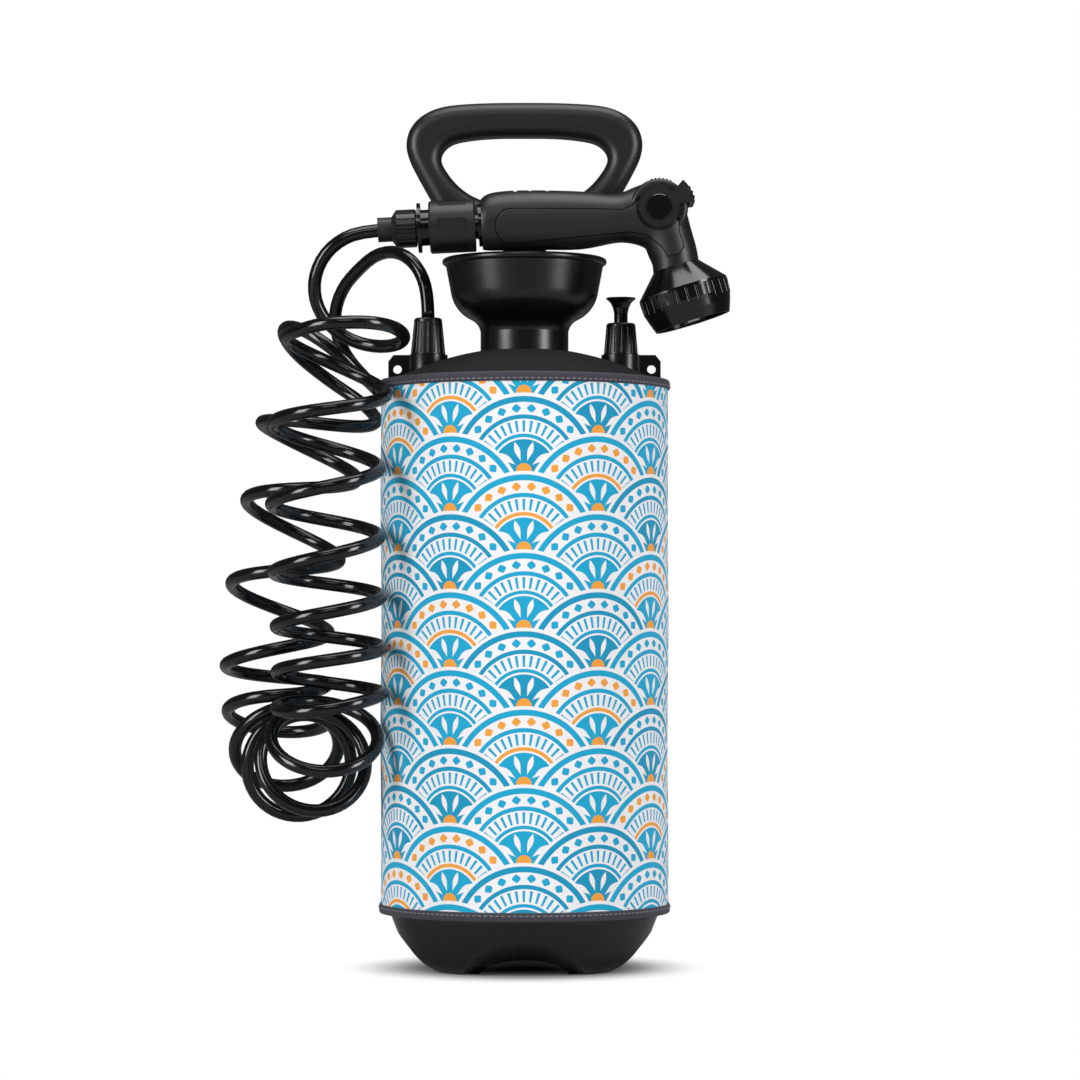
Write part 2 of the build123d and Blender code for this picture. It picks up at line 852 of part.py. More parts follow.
with BuildPart() as relief_cap:
    add(
        ribbed_nut(
            port_offset, relief_cap_bottom_radius, relief_cap_top_radius, nut_bottom, relief_cap_top
        )
    )
    add(
        turned_port(
            port_offset,
            (0, nut_bottom),
            (port_bore_radius + 2.6, nut_bottom),
            (port_bore_radius + 2.6, nut_bottom + 1.5),
            (port_bore_radius + seat_gap, nut_bottom + 1.5),
            (port_bore_radius + seat_gap, fitting_shank_top - 4 + seat_gap),
            (relief_cavity_radius, fitting_shank_top - 4 + seat_gap),
            (relief_cavity_radius, relief_cap_top - 4),
            (stem_radius + running_gap, relief_cap_top - 4),
            (stem_radius + running_gap, relief_cap_top),
            (0, relief_cap_top),
        ),
        mode=Mode.SUBTRACT,
    )

poppet_bottom = relief_seat_height + free_gap
poppet_top = poppet_bottom + 2 * poppet_thickness

with BuildPart() as relief_poppet_seal:
    with BuildSketch(Plane.XY.offset(poppet_bottom)):
        with Locations((port_offset, 0)):
            Circle(poppet_radius)
    extrude(amount=poppet_thickness)

with BuildPart() as relief_stem:
    add(
        turned_port(
            port_offset,
            (0, poppet_bottom + poppet_thickness),
            (poppet_radius, poppet_bottom + poppet_thickness),
            (poppet_radius, poppet_top),
            (stem_radius - 1.5, poppet_top),
            (stem_radius - 1.5, relief_cap_top - 12),
            (stem_radius, relief_cap_top - 11),
            (stem_radius, knob_height - 11),
            (stem_radius + 0.8, knob_height - 7),
            (stem_radius + 2.4, knob_height - 3.6),
            (knob_radius - 0.6, knob_height - knob_lip),
            (knob_radius, knob_height - knob_lip + 0.4),
            (knob_radius, knob_height),
            (knob_radius - 3.0, knob_height),
            (knob_radius - 4.4, knob_height - 1.2),
            (0, knob_height - 1.2),
        )
    )

spring_low = poppet_top + free_gap
spring_high = relief_cap_top - 4 - seat_gap
spring_radius = relief_cavity_radius - spring_wire - seat_gap - 0.2

with BuildPart() as relief_spring:
    with BuildLine():
        wire = Helix(
            pitch=(spring_high - spring_low - 2 * spring_wire) / spring_turns,
            height=spring_high - spring_low - 2 * spring_wire,
            radius=spring_radius,
            center=(port_offset, 0, spring_low + spring_wire),
        )
    with BuildSketch(Plane(origin=wire @ 0, z_dir=wire % 0)):
        RegularPolygon(spring_wire, 6)
    sweep()


# Hose: the two uncoiled leads and the coil between them
def corner_radii(points):
    """Each corner's radius: a share of its shorter run over the tangent of half its turn."""
    corners = [Vector(*point) for point in points]
    radii = []
    for before, corner, after in zip(corners, corners[1:], corners[2:]):
        arriving = corner - before
        leaving = after - corner
        half_turn = math.radians(arriving.get_angle(leaving)) / 2
        shorter = min(arriving.length, leaving.length)
        radii.append(route_share * shorter / math.tan(half_turn))
    return radii


def hose_run(name, points):
    """A plain length of hose along straight runs joined by tangent arcs."""
    radii = corner_radii(points)
    with BuildPart() as run:
        with BuildLine():
            route = FilletPolyline(*points, radius=radii)
        with BuildSketch(Plane(origin=route @ 0, z_dir=route % 0)):
            Circle(hose_radius)
        sweep()
    expected = math.pi * hose_radius**2 * route.length
    print(name, "radii", [round(radius, 1) for radius in radii])
    print(name, "length", round(route.length, 1), "volume share", round(run.part.volume / expected, 4))
    return run.part


outlet_route = (
    (-66.5, 0, 437.0),
    (-66.5, 0, 456.8),
    (-71.7, 5.4, 475.0),
    (-81.3, 15.5, 488.9),
    (-93.9, 28.6, 496.5),
    (-107.6, 42.7, 496.5),
    (-120.1, 55.8, 488.9),
    (-129.8, 65.9, 475.0),
    (-135.0, 71.3, 456.8),
    (-135.0, 71.3, 437.0),
)
shower_route = (
    tuple(on_shower(hose_seat_line, 0)),
    tuple(on_shower(hose_straight_line, 0)),
    (-126.1, -43.0, 495.5),
    (-139.7, -43.0, 481.2),
    (-147.0, -43.0, 462.9),
    (-147.0, -43.0, 443.5),
)

with BuildPart() as hose_lead_outlet:
    add(hose_run("hose_lead_outlet", outlet_route))
    with BuildSketch(Plane.XY.offset(outlet_route[0][2])):
        with Locations((-port_offset, 0)):
            Circle(hose_bore)
    extrude(amount=barb_length, mode=Mode.SUBTRACT)

with BuildPart() as hose_lead_shower:
    add(hose_run("hose_lead_shower", shower_route))
    with BuildSketch(Plane(origin=on_shower(hose_seat_line, 0), z_dir=-shower_plane.x_dir)):
        Circle(hose_bore)
    extrude(amount=barb_length, mode=Mode.SUBTRACT)

coil_front_route = (
    (-131.5, -56.0, 189.0),
    (-131.5, -56.0, 280.0),
    (-134.5, -60.0, 360.0),
    (-126.5, -67.0, 405.0),
    (-120.5, -67.0, 437.0),
)
coil_rear_route = (
    (-173.0, 35.0, 189.0),
    (-173.0, 35.0, 235.0),
    (-162.0, 35.0, 312.0),
    (-146.0, 35.0, 375.0),
    (-141.7, 35.4, 437.0),
)


def coil_column(points):
    """One column of the coil as a fat tube whose wall is the hose's own thickness."""
    with BuildPart() as column:
        with BuildLine():
            route = FilletPolyline(*points, radius=corner_radii(points))
        with BuildSketch(Plane(origin=route @ 0, z_dir=route % 0)):
            Circle(coil_radius)
            Circle(coil_radius - hose_diameter, mode=Mode.SUBTRACT)
        sweep()
    return column.part


with BuildPart() as hose_coil_front:
    add(coil_column(coil_front_route))

with BuildPart() as hose_coil_rear:
    add(coil_column(coil_rear_route))

bend_start = Vector(*coil_front_route[0])
bend_end = Vector(*coil_rear_route[0])
bend_across = (bend_end - bend_start).normalized()
bend_centre = (bend_start + bend_end) / 2
bend_axis = Axis(bend_centre, bend_across.cross(Vector(0, 0, 1)))

with BuildPart() as hose_coil_bend:
    with BuildSketch(Plane(origin=bend_start, z_dir=(0, 0, -1))):
        Circle(coil_radius)
        Circle(coil_radius - hose_diameter, mode=Mode.SUBTRACT)
    revolve(axis=bend_axis, revolution_arc=180)


# Handshower: moulded body, lofted through sections across its own line
def section_plane(upper, lower):
    """The plane of a section between its upper and lower ends, facing along the body."""
    middle = on_shower((upper[0] + lower[0]) / 2, (upper[1] + lower[1]) / 2)
    rise = (on_shower(*upper) - on_shower(*lower)).normalized()
    return Plane(origin=middle, x_dir=(0, 1, 0), z_dir=Vector(0, 1, 0).cross(rise))


body_sections = (
    # upper end, lower end, half width: the handle's, then those round the bend
    ((0.0, 17.2), (0.0, -16.8), 15.8),
    ((4.0, 20.2), (4.0, -17.6), 16.8),
    ((11.0, 21.8), (11.0, -17.9), 17.3),
    ((24.0, 22.2), (24.0, -18.3), 17.5),
    ((46.0, 21.2), (46.0, -19.2), 17.3),
    ((68.0, 19.4), (68.0, -19.7), 16.9),
    ((81.0, 17.8), (81.0, -18.0), 16.5),
    ((94.0, 17.0), (94.0, -16.6), 16.2),
    ((112.6, 22.6), (108.5, -20.4), 16.2),
    ((131.0, 19.4), (111.1, -24.1), 16.4),
    ((138.9, 3.5), (113.1, -29.6), 16.6),
    ((142.6, -13.1), (114.4, -33.5), 16.5),
    ((144.7, -22.5), (114.6, -36.3), 16.3),
)
mouth = head_plane.from_local_coords(Vector(0, mouth_line))

with BuildPart() as body_form:
    for upper, lower, half_width in body_sections:
        with BuildSketch(section_plane(upper, lower)):
            Ellipse(half_width, math.dist(upper, lower) / 2)
    with BuildSketch(Plane(origin=mouth, x_dir=(0, 1, 0), z_dir=head_plane.y_dir)):
        Ellipse(mouth_ring_radius - 0.05, mouth_ring_radius)
    loft()

with BuildPart() as crest_form:
    with BuildSketch(pivot_plane):
        Circle(crest_radius)
    extrude(amount=crest_half_width, both=True)
    fillet(crest_form.edges().filter_by(GeomType.CIRCLE), crest_round)
    with BuildSketch(pivot_plane):
        with PolarLocations(crest_radius, crest_ridges, start_angle=64, angular_range=46):
            Circle(crest_ridge_radius)
    extrude(amount=crest_half_width - crest_round, both=True)

grip_outline = (
    (9.5, 8.8), (73.3, 5.6), (95.0, 3.9), (103.1, 6.9), (107.4, 12.1), (120.3, 4.6),
    (133.0, -3.0), (132.8, -12.1), (135.5, -22.5), (132.0, -27.5), (124.6, -28.5),
    (121.0, -22.0), (111.5, -13.2), (100.4, -10.5), (73.3, -11.9), (9.5, -14.6),
)


def grip_prism(side, growth):
    """The inlay's outline, grown by its groove, as a prism through one flank of the body."""
    with BuildPart() as prism:
        with BuildSketch(shower_plane.offset(side * (panel_floor - growth))) as face:
            filled(*grip_outline)
            fillet(face.vertices().group_by(Axis.X)[0], 10.5)
            if growth:
                offset(amount=growth, kind=Kind.INTERSECTION)
            with Locations((pivot_along, pivot_across)):
                Circle(lever_recess_radius + 1.2 - growth, mode=Mode.SUBTRACT)
        extrude(amount=side * 12)
    return prism.part


def lever_sector(inner, outer, start, end, near, far):
    """A sector about the lever's pivot between two depths across the handshower."""
    with BuildPart() as sector:
        with BuildSketch(pivot_plane.offset(near)):
            Circle(outer)
            Circle(inner, mode=Mode.SUBTRACT)
            corners = [(0, 0)]
            for step in range(5):
                angle = math.radians(start + (end - start) * step / 4)
                corners.append((2 * outer * math.cos(angle), 2 * outer * math.sin(angle)))
            filled(*corners, mode=Mode.INTERSECT)
        extrude(amount=far - near)
    return sector.part


tab_start = lever_tab_centre - lever_tab_spread / 2
tab_end = lever_tab_centre + lever_tab_spread / 2
sweep_start = tab_start - 8
sweep_end = tab_end + lever_travel + 8
sweep_radius = lever_tab_outer + 6
plate_near = crest_half_width + 0.3
plate_far = plate_near + lever_plate
bore_start = on_shower(nipple_thread - 2, 0)
body_bore = 4.2

with BuildPart() as gun_body:
    add(body_form.part)
    add(crest_form.part)
    for side in (-1, 1):
        add(grip_prism(side, panel_groove), mode=Mode.SUBTRACT)
        with BuildSketch(pivot_plane.offset(side * crest_half_width)):
            Circle(lever_recess_radius)
        extrude(amount=side * 8, mode=Mode.SUBTRACT)
        add(
            lever_sector(
                1.0, sweep_radius, sweep_start, sweep_end,
                side * crest_half_width, side * 2 * crest_half_width,
            ),
            mode=Mode.SUBTRACT,
        )
    add(
        lever_sector(
            lever_tab_inner - free_gap, sweep_radius, sweep_start, sweep_end,
            -2 * crest_half_width, 2 * crest_half_width,
        ),
        mode=Mode.SUBTRACT,
    )
    with BuildSketch(shower_plane):
        with Locations((23.8, thumb_notch_line), (33.9, thumb_notch_line), (45.5, thumb_notch_line - 0.6)):
            Circle(thumb_notch_radius)
    extrude(amount=2 * crest_half_width, both=True, mode=Mode.SUBTRACT)
    with BuildSketch(pivot_plane):
        Circle(spool_radius + running_gap)
    extrude(amount=2 * crest_half_width, both=True, mode=Mode.SUBTRACT)
    with BuildSketch(Plane(origin=on_shower(-1, 0), z_dir=shower_plane.x_dir)):
        Circle(nipple_thread_radius + seat_gap)
    extrude(amount=nipple_thread + 1 + seat_gap, mode=Mode.SUBTRACT)
    with BuildSketch(Plane(origin=bore_start, z_dir=pivot - bore_start)):
        Circle(body_bore)
    extrude(amount=(pivot - bore_start).length, mode=Mode.SUBTRACT)
    with BuildSketch(Plane(origin=pivot, z_dir=head_plane.y_dir)):
        Circle(body_bore)
    extrude(amount=mouth_line + 1, mode=Mode.SUBTRACT)
    with BuildSketch(Plane(origin=mouth, z_dir=-head_plane.y_dir)):
        Circle(cone_plug_radius + seat_gap)
    extrude(amount=cone_plug_length + seat_gap, mode=Mode.SUBTRACT)

with BuildPart() as grip_panel_front:
    add(body_form.part)
    add(grip_prism(1, 0), mode=Mode.INTERSECT)

with BuildPart() as grip_panel_rear:
    add(body_form.part)
    add(grip_prism(-1, 0), mode=Mode.INTERSECT)

# Flow lever, its valve spool and its two caps
with BuildPart() as flow_lever:
    add(
        lever_sector(
            lever_tab_inner, lever_tab_outer, tab_start, tab_end, -plate_far, plate_far
        )
    )
    with BuildSketch(pivot_plane):
        with PolarLocations(lever_tab_outer, 3, start_angle=tab_start + 8, angular_range=tab_end - tab_start - 16):
            Circle(0.9)
    extrude(amount=plate_far - 2, both=True)
    for side in (-1, 1):
        with BuildSketch(pivot_plane.offset(side * plate_near)):
            Circle(lever_ring_radius)
        extrude(amount=side * lever_plate)
        add(
            lever_sector(
                spool_radius, lever_tab_outer, tab_start, tab_end, side * plate_near, side * plate_far
            )
        )
    with BuildSketch(pivot_plane):
        Circle(spool_radius + seat_gap)
    extrude(amount=plate_far + 1, both=True, mode=Mode.SUBTRACT)

with BuildPart() as valve_spool:
    with BuildSketch(pivot_plane):
        Circle(spool_radius)
    extrude(amount=plate_far, both=True)
    for way in (inlet_heading - lever_travel, head_tilt - shower_tilt - 90.0 - lever_travel):
        turn = math.radians(way)
        heading = shower_plane.x_dir * math.cos(turn) + shower_plane.y_dir * math.sin(turn)
        with BuildSketch(Plane(origin=pivot, z_dir=heading)):
            Circle(spool_waterway)
        extrude(amount=spool_radius + 1, mode=Mode.SUBTRACT)


def pivot_cap(side):
    """The round cap on one side of the lever's pivot."""
    with BuildPart() as cap:
        with BuildSketch(pivot_plane.offset(side * (plate_far + seat_gap))):
            Circle(cap_radius)
        extrude(amount=side * cap_height)
        chamfer(cap.faces().sort_by(Axis.Y)[0 if side > 0 else -1].edges(), 0.6)
    return cap.part


with BuildPart() as pivot_cap_front:
    add(pivot_cap(1))

with BuildPart() as pivot_cap_rear:
    add(pivot_cap(-1))

# Inlet and quick connector, turned about the handshower's axis
groove_floor = nipple_radius - o_ring_wire
groove_half = o_ring_wire / 2 + seat_gap

with BuildPart() as inlet_nipple:
    add(
        turned_on_shower(
            (-nipple_reach, body_bore),
            (-nipple_reach, nipple_radius),
            (-ring_line - groove_half, nipple_radius),
            (-ring_line - groove_half, groove_floor),
            (-ring_line + groove_half, groove_floor),
            (-ring_line + groove_half, nipple_radius),
            (-nipple_flange - seat_gap, nipple_radius),
            (-nipple_flange - seat_gap, nipple_flange_radius),
            (-seat_gap, nipple_flange_radius),
            (-seat_gap, nipple_thread_radius),
            (nipple_thread, nipple_thread_radius),
            (nipple_thread, body_bore),
        )
    )

with BuildPart() as inlet_o_ring:
    with BuildSketch(shower_plane):
        with Locations((-ring_line, nipple_radius + running_gap - o_ring_wire / 2)):
            Circle(o_ring_wire / 2)
    revolve(axis=shower_axis)

with BuildPart() as connector_body:
    add(
        turned_on_shower(
            (connector_stub_end - barb_length, barb_bore),
            (connector_stub_end - barb_length, barb_radius),
            (connector_stub_end, barb_radius),
            (connector_stub_end, connector_stub_radius),
            (connector_flange_start, connector_stub_radius),
            (connector_flange_start, connector_flange_radius),
            (connector_flange_end, connector_flange_radius),
            (connector_flange_end, connector_neck_radius),
            (connector_neck_end, connector_neck_radius),
            (connector_neck_end, nipple_radius + seat_gap),
            (-nipple_reach - 0.5, nipple_radius + seat_gap),
            (-nipple_reach - 0.5, barb_bore),
        )
    )

with BuildPart() as connector_sleeve:
    sleeve_bore = connector_neck_radius + free_gap
    wall_right = connector_sleeve_start + connector_sleeve_end_wall
    shoulder_left = connector_sleeve_end - 7.0
    add(
        turned_on_shower(
            (connector_sleeve_start, sleeve_bore),
            (connector_sleeve_start, connector_sleeve_radius - 1.2),
            (connector_sleeve_start + 1.2, connector_sleeve_radius),
            (connector_sleeve_end - 0.8, connector_sleeve_radius),
            (connector_sleeve_end, connector_sleeve_radius - 0.8),
            (connector_sleeve_end, sleeve_bore),
            (shoulder_left, sleeve_bore),
            (shoulder_left, connector_sleeve_bore),
            (wall_right, connector_sleeve_bore),
            (wall_right, sleeve_bore),
        )
    )
    pocket_middle = on_shower((connector_sleeve_start + connector_sleeve_end) / 2, 0)
    for pocket in range(connector_pockets):
        turn = 2 * math.pi * (pocket + 0.5) / connector_pockets
        facing = shower_plane.y_dir * math.cos(turn) + shower_plane.z_dir * math.sin(turn)
        pocket_floor = pocket_middle + facing * (connector_sleeve_radius - 0.9)
        with BuildSketch(Plane(origin=pocket_floor, x_dir=shower_plane.x_dir, z_dir=facing)):
            Rectangle(19, 8)
        extrude(amount=3, mode=Mode.SUBTRACT)

with BuildPart() as retaining_ring:
    ring_left = wall_right + free_gap
    ring_right = ring_left + 1.6
    ring_outer = connector_sleeve_bore - free_gap
    add(
        turned_on_shower(
            (ring_left, connector_neck_radius + running_gap),
            (ring_left, ring_outer),
            (ring_right, ring_outer),
            (ring_right, connector_neck_radius + running_gap),
        )
    )

with BuildPart() as connector_spring:
    spring_start = ring_right + seat_gap + spring_wire
    spring_end = shoulder_left - free_gap - spring_wire
    with BuildLine():
        coil_wire = Helix(
            pitch=(spring_end - spring_start) / 5,
            height=spring_end - spring_start,
            radius=(sleeve_bore + connector_sleeve_bore) / 2,
            center=on_shower(spring_start, 0),
            direction=shower_plane.x_dir,
        )
    with BuildSketch(Plane(origin=coil_wire @ 0, z_dir=coil_wire % 0)):
        RegularPolygon(spring_wire, 6)
    sweep()

with BuildPart() as hose_nut:
    add(
        turned_on_shower(
            (shower_nut_start, hose_radius + seat_gap),
            (shower_nut_start, shower_nut_radius - 0.8),
            (shower_nut_start + 0.8, shower_nut_radius),
            (shower_nut_end - 0.8, shower_nut_radius),
            (shower_nut_end, shower_nut_radius - 0.8),
            (shower_nut_end, connector_stub_radius + seat_gap),
            (connector_stub_end - seat_gap, connector_stub_radius + seat_gap),
            (connector_stub_end - seat_gap, hose_radius + seat_gap),
        )
    )
    with BuildSketch(Plane(origin=on_shower(shower_nut_start, 0), z_dir=shower_plane.x_dir)):
        with PolarLocations(shower_nut_radius + 0.25, nut_ribs):
            Circle(rib_groove_radius)
    extrude(amount=shower_nut_end - shower_nut_start, mode=Mode.SUBTRACT)

with BuildPart() as hose_tail:
    add(
        turned_on_shower(
            (tail_start, hose_radius + seat_gap),
            (tail_start, tail_radius),
            (tail_flare, tail_radius),
            (tail_end, shower_nut_radius - 1.2),
            (tail_end + seat_gap, shower_nut_radius - 1.2),
            (tail_end + seat_gap, hose_radius + seat_gap),
        )
    )

# Spray head, turned about its own axis
cone_slope = (cone_line - mouth_line - seat_gap) / (cone_radius - mouth_ring_radius)
skirt_inner = skirt_radius_head - 2.8
skirt_line = cone_line + cone_lip
seal_line = skirt_line + 2.0
seal_floor = skirt_radius_head - 1.2
seal_width = 1.6 + 2 * running_gap
inner_cone_radius = 15.5
inner_cone_line = cone_line + 0.4 - cone_slope * (skirt_inner - inner_cone_radius)
spigot_end = face_line - 0.4
boss_end = face_line + face_thickness + free_gap

with BuildPart() as nozzle_cone:
    add(
        turned_on_head(
            (body_bore, mouth_line - cone_plug_length),
            (cone_plug_radius, mouth_line - cone_plug_length),
            (cone_plug_radius, mouth_line + seat_gap),
            (mouth_ring_radius, mouth_line + seat_gap),
            (cone_radius, cone_line),
            (cone_radius, skirt_line),
            (skirt_radius_head, skirt_line),
            (skirt_radius_head, seal_line),
            (seal_floor, seal_line),
            (seal_floor, seal_line + seal_width),
            (skirt_radius_head, seal_line + seal_width),
            (skirt_radius_head, seal_line + seal_width + 1.6),
            (skirt_inner, seal_line + seal_width + 1.6),
            (skirt_inner, cone_line + 0.4),
            (inner_cone_radius, inner_cone_line),
            (spigot_radius, inner_cone_line),
            (spigot_radius, spigot_end),
            (screw_boss_radius, spigot_end),
            (screw_boss_radius, boss_end),
            (screw_shank_radius + seat_gap, boss_end),
            (screw_shank_radius + seat_gap, boss_end - screw_length - 1),
            (0, boss_end - screw_length - 1),
            (0, boss_end - screw_length - 4),
            (body_bore, boss_end - screw_length - 4),
        )
    )
    outflow = head_plane.from_local_coords(Vector(0, inner_cone_line + 4))
    for heading in (head_plane.x_dir, head_plane.z_dir):
        with BuildSketch(Plane(origin=outflow, z_dir=heading)):
            Circle(2.2)
        extrude(amount=spigot_radius + 1, both=True, mode=Mode.SUBTRACT)

with BuildPart() as head_o_ring:
    with BuildSketch(head_plane):
        with Locations((ring_bore - running_gap - 0.75, seal_line + seal_width / 2)):
            Circle(0.75)
    revolve(axis=head_axis)

with BuildPart() as face_screw:
    add(
        turned_on_head(
            (0, boss_end - screw_length),
            (screw_shank_radius, boss_end - screw_length),
            (screw_shank_radius, boss_end + seat_gap),
            (screw_head_radius, boss_end + seat_gap),
            (screw_head_radius - 0.8, boss_end + seat_gap + screw_head),
            (0, boss_end + seat_gap + screw_head),
        )
    )

with BuildPart() as spray_ring:
    add(
        turned_on_head(
            (ring_bore, ring_line_start),
            (ring_radius, ring_line_start),
            (ring_radius - 0.4, ring_line_start + 8.0),
            (ring_radius - 2.5, ring_line_start + 15.0),
            (ring_end_radius, ring_line_end),
            (face_radius + seat_gap, ring_line_end),
            (face_radius + seat_gap, face_line - seat_gap),
            (face_radius - 1.4, face_line - seat_gap),
            (face_radius - 1.4, face_line - 2.0),
            (ring_bore - 1.8, face_line - 5.0),
            (ring_bore, ring_line_start + 8.5),
        )
    )
    with BuildSketch(Plane(origin=head_plane.from_local_coords(Vector(0, ring_line_start)), x_dir=head_plane.x_dir, z_dir=head_plane.y_dir)):
        with PolarLocations(ring_radius + 0.2, ring_grooves):
            Circle(1.3)
    extrude(amount=14.0, mode=Mode.SUBTRACT)

with BuildPart() as spray_face:
    add(
        turned_on_head(
            (spigot_radius + running_gap, face_line - 8.0),
            (hub_outer, face_line - 8.0),
            (hub_outer, face_line),
            (face_radius, face_line),
            (face_radius, face_line + face_thickness),
            (screw_boss_radius + running_gap, face_line + face_thickness),
            (screw_boss_radius + running_gap, face_line),
            (spigot_radius + running_gap, face_line),
        )
    )
    with BuildSketch(Plane(origin=head_plane.from_local_coords(Vector(0, face_line - 1)), x_dir=head_plane.x_dir, z_dir=head_plane.y_dir)):
        for circle_radius, count in ((inner_jet_circle, inner_jets), (outer_jet_circle, outer_jets)):
            with PolarLocations(circle_radius, count):
                Circle(jet_radius)
    extrude(amount=face_thickness + 2, mode=Mode.SUBTRACT)

# Every piece in the packed part, one file each
pieces = {
    "tank": tank,
    "funnel": funnel,
    "sleeve": sleeve,
    "top_panel": top_panel,
    "top_binding": top_binding,
    "bottom_binding": bottom_binding,
    "outlet_fitting": outlet_fitting,
    "outlet_seal": outlet_seal,
    "outlet_nut": outlet_nut,
    "dip_tube": dip_tube,
    "dip_filter": dip_filter,
    "relief_base": relief_base,
    "relief_gasket": relief_gasket,
    "relief_cap": relief_cap,
    "relief_spring": relief_spring,
    "hose_lead_outlet": hose_lead_outlet,
    "hose_coil_front": hose_coil_front,
    "hose_coil_bend": hose_coil_bend,
    "hose_coil_rear": hose_coil_rear,
    "pump_collar": pump_collar,
    "collar_seal": collar_seal,
    "pump_barrel": pump_barrel,
    "rod_guide": rod_guide,
    "check_valve": check_valve,
    "pump_rod": pump_rod,
    "piston": piston,
    "piston_ring": piston_ring,
    "pump_handle": pump_handle,
    "handle_pin": handle_pin,
    "relief_stem": relief_stem,
    "relief_poppet_seal": relief_poppet_seal,
    "gun_body": gun_body,
    "grip_panel_front": grip_panel_front,
    "grip_panel_rear": grip_panel_rear,
    "inlet_nipple": inlet_nipple,
    "inlet_o_ring": inlet_o_ring,
    "connector_body": connector_body,
    "retaining_ring": retaining_ring,
    "connector_spring": connector_spring,
    "hose_nut": hose_nut,
    "hose_tail": hose_tail,
    "hose_lead_shower": hose_lead_shower,
    "nozzle_cone": nozzle_cone,
    "head_o_ring": head_o_ring,
    "face_screw": face_screw,
    "flow_lever": flow_lever,
    "valve_spool": valve_spool,
    "pivot_cap_front": pivot_cap_front,
    "pivot_cap_rear": pivot_cap_rear,
    "spray_ring": spray_ring,
    "spray_face": spray_face,
    "connector_sleeve": connector_sleeve,
}
os.makedirs("parts", exist_ok=True)
for label, piece in pieces.items():
    piece.part.label = label
    export_step(piece.part, f"parts/{label}.step")
print("handshower pivot", [round(value, 2) for value in pivot])
print("shower axis", [round(value, 5) for value in shower_plane.x_dir])
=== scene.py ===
# %% [markdown]
# # A pump-pressure portable shower
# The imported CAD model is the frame: it fixes every size and every joint. This script gives
# it a camera, soft light, a coiled hose, a printed soft sleeve with sewn edges, and a
# finish for each rigid piece. All lengths are in metres, +Z is up and +Y leads away from
# the camera. The frame is loaded first, because every piece rides on one of its bodies.

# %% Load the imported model
import math

import bpy
import numpy as np
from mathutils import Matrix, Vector


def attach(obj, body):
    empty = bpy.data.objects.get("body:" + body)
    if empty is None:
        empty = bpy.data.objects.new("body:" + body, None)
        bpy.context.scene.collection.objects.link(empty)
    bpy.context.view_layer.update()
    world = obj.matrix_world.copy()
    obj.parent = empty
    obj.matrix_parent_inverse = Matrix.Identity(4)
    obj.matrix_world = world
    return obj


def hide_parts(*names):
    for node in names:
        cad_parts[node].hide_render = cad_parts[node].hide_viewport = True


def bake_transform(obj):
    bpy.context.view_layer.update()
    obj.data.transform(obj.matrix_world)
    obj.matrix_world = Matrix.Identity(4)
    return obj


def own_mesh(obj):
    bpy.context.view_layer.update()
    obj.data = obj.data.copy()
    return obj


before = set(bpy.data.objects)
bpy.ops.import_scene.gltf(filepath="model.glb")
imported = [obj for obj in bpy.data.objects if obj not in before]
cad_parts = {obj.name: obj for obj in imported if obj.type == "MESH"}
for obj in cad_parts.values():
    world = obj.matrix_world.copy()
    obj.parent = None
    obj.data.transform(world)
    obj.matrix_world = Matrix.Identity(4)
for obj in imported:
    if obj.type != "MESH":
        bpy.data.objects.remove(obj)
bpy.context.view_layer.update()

# %% [markdown]
# ## The camera
# The photograph was taken from far away with a long lens: the bottle's rims are nearly
# straight lines, and the horizon lies low on the bottle. A level camera keeps the upright
# edges parallel, so the lens is shifted up a little and never tilted. The focal length
# comes from how much wider the near edge looks than the far one.

# %% Place the camera
CAMERA_DISTANCE = 2.6
CAMERA_ASIDE = 0.0107
HORIZON_HEIGHT = 0.226
LENS_MM = 125.6
SENSOR_MM = 36.0
LENS_RISE = 0.0926
camera_data = bpy.data.cameras.new("studio_camera")
camera_data.lens = LENS_MM
camera_data.sensor_width = SENSOR_MM
camera_data.shift_y = LENS_RISE
camera_data.clip_start = 0.05
camera = bpy.data.objects.new("studio_camera", camera_data)
bpy.context.scene.collection.objects.link(camera)
camera.location = (CAMERA_ASIDE, -CAMERA_DISTANCE, HORIZON_HEIGHT)
camera.rotation_euler = (math.radians(90), 0, 0)
bpy.context.scene.camera = camera
print("camera", LENS_MM, "mm lens at", [round(value, 3) for value in camera.location])

# %% [markdown]
# ## The hose's guide line
# The hose is one spiral that hangs in a long loop: down the front, round a bend near the
# bottle's foot and up behind. Its middle line is a smooth curve, and the hose winds round
# it. A cubic through a few heights gives each column, and a half circle joins them.

# %% The middle line of the coil
HOSE = 0.009
COIL_FOOT = 0.1890
FRONT_TOP = 0.4435
REAR_TOP = 0.4460
COLUMN_STEPS = 120
BEND_STEPS = 90
FRONT_AXIS = np.array([
    (-0.1195, -0.0670, FRONT_TOP), (-0.1265, -0.0670, 0.4050), (-0.1345, -0.0600, 0.3600),
    (-0.1330, -0.0575, 0.2800), (-0.1315, -0.0560, COIL_FOOT),
])
REAR_AXIS = np.array([
    (-0.1730, 0.0350, COIL_FOOT), (-0.1710, 0.0350, 0.2350), (-0.1620, 0.0350, 0.3120),
    (-0.1460, 0.0350, 0.3750), (-0.1410, 0.0355, REAR_TOP),
])


def column_line(knots, heights):
    """Cubic polynomials in the height, fitted through the knots, give X and Y."""
    x = np.polyval(np.polyfit(knots[:, 2], knots[:, 0], 3), heights)
    y = np.polyval(np.polyfit(knots[:, 2], knots[:, 1], 3), heights)
    return np.column_stack([x, y, heights])


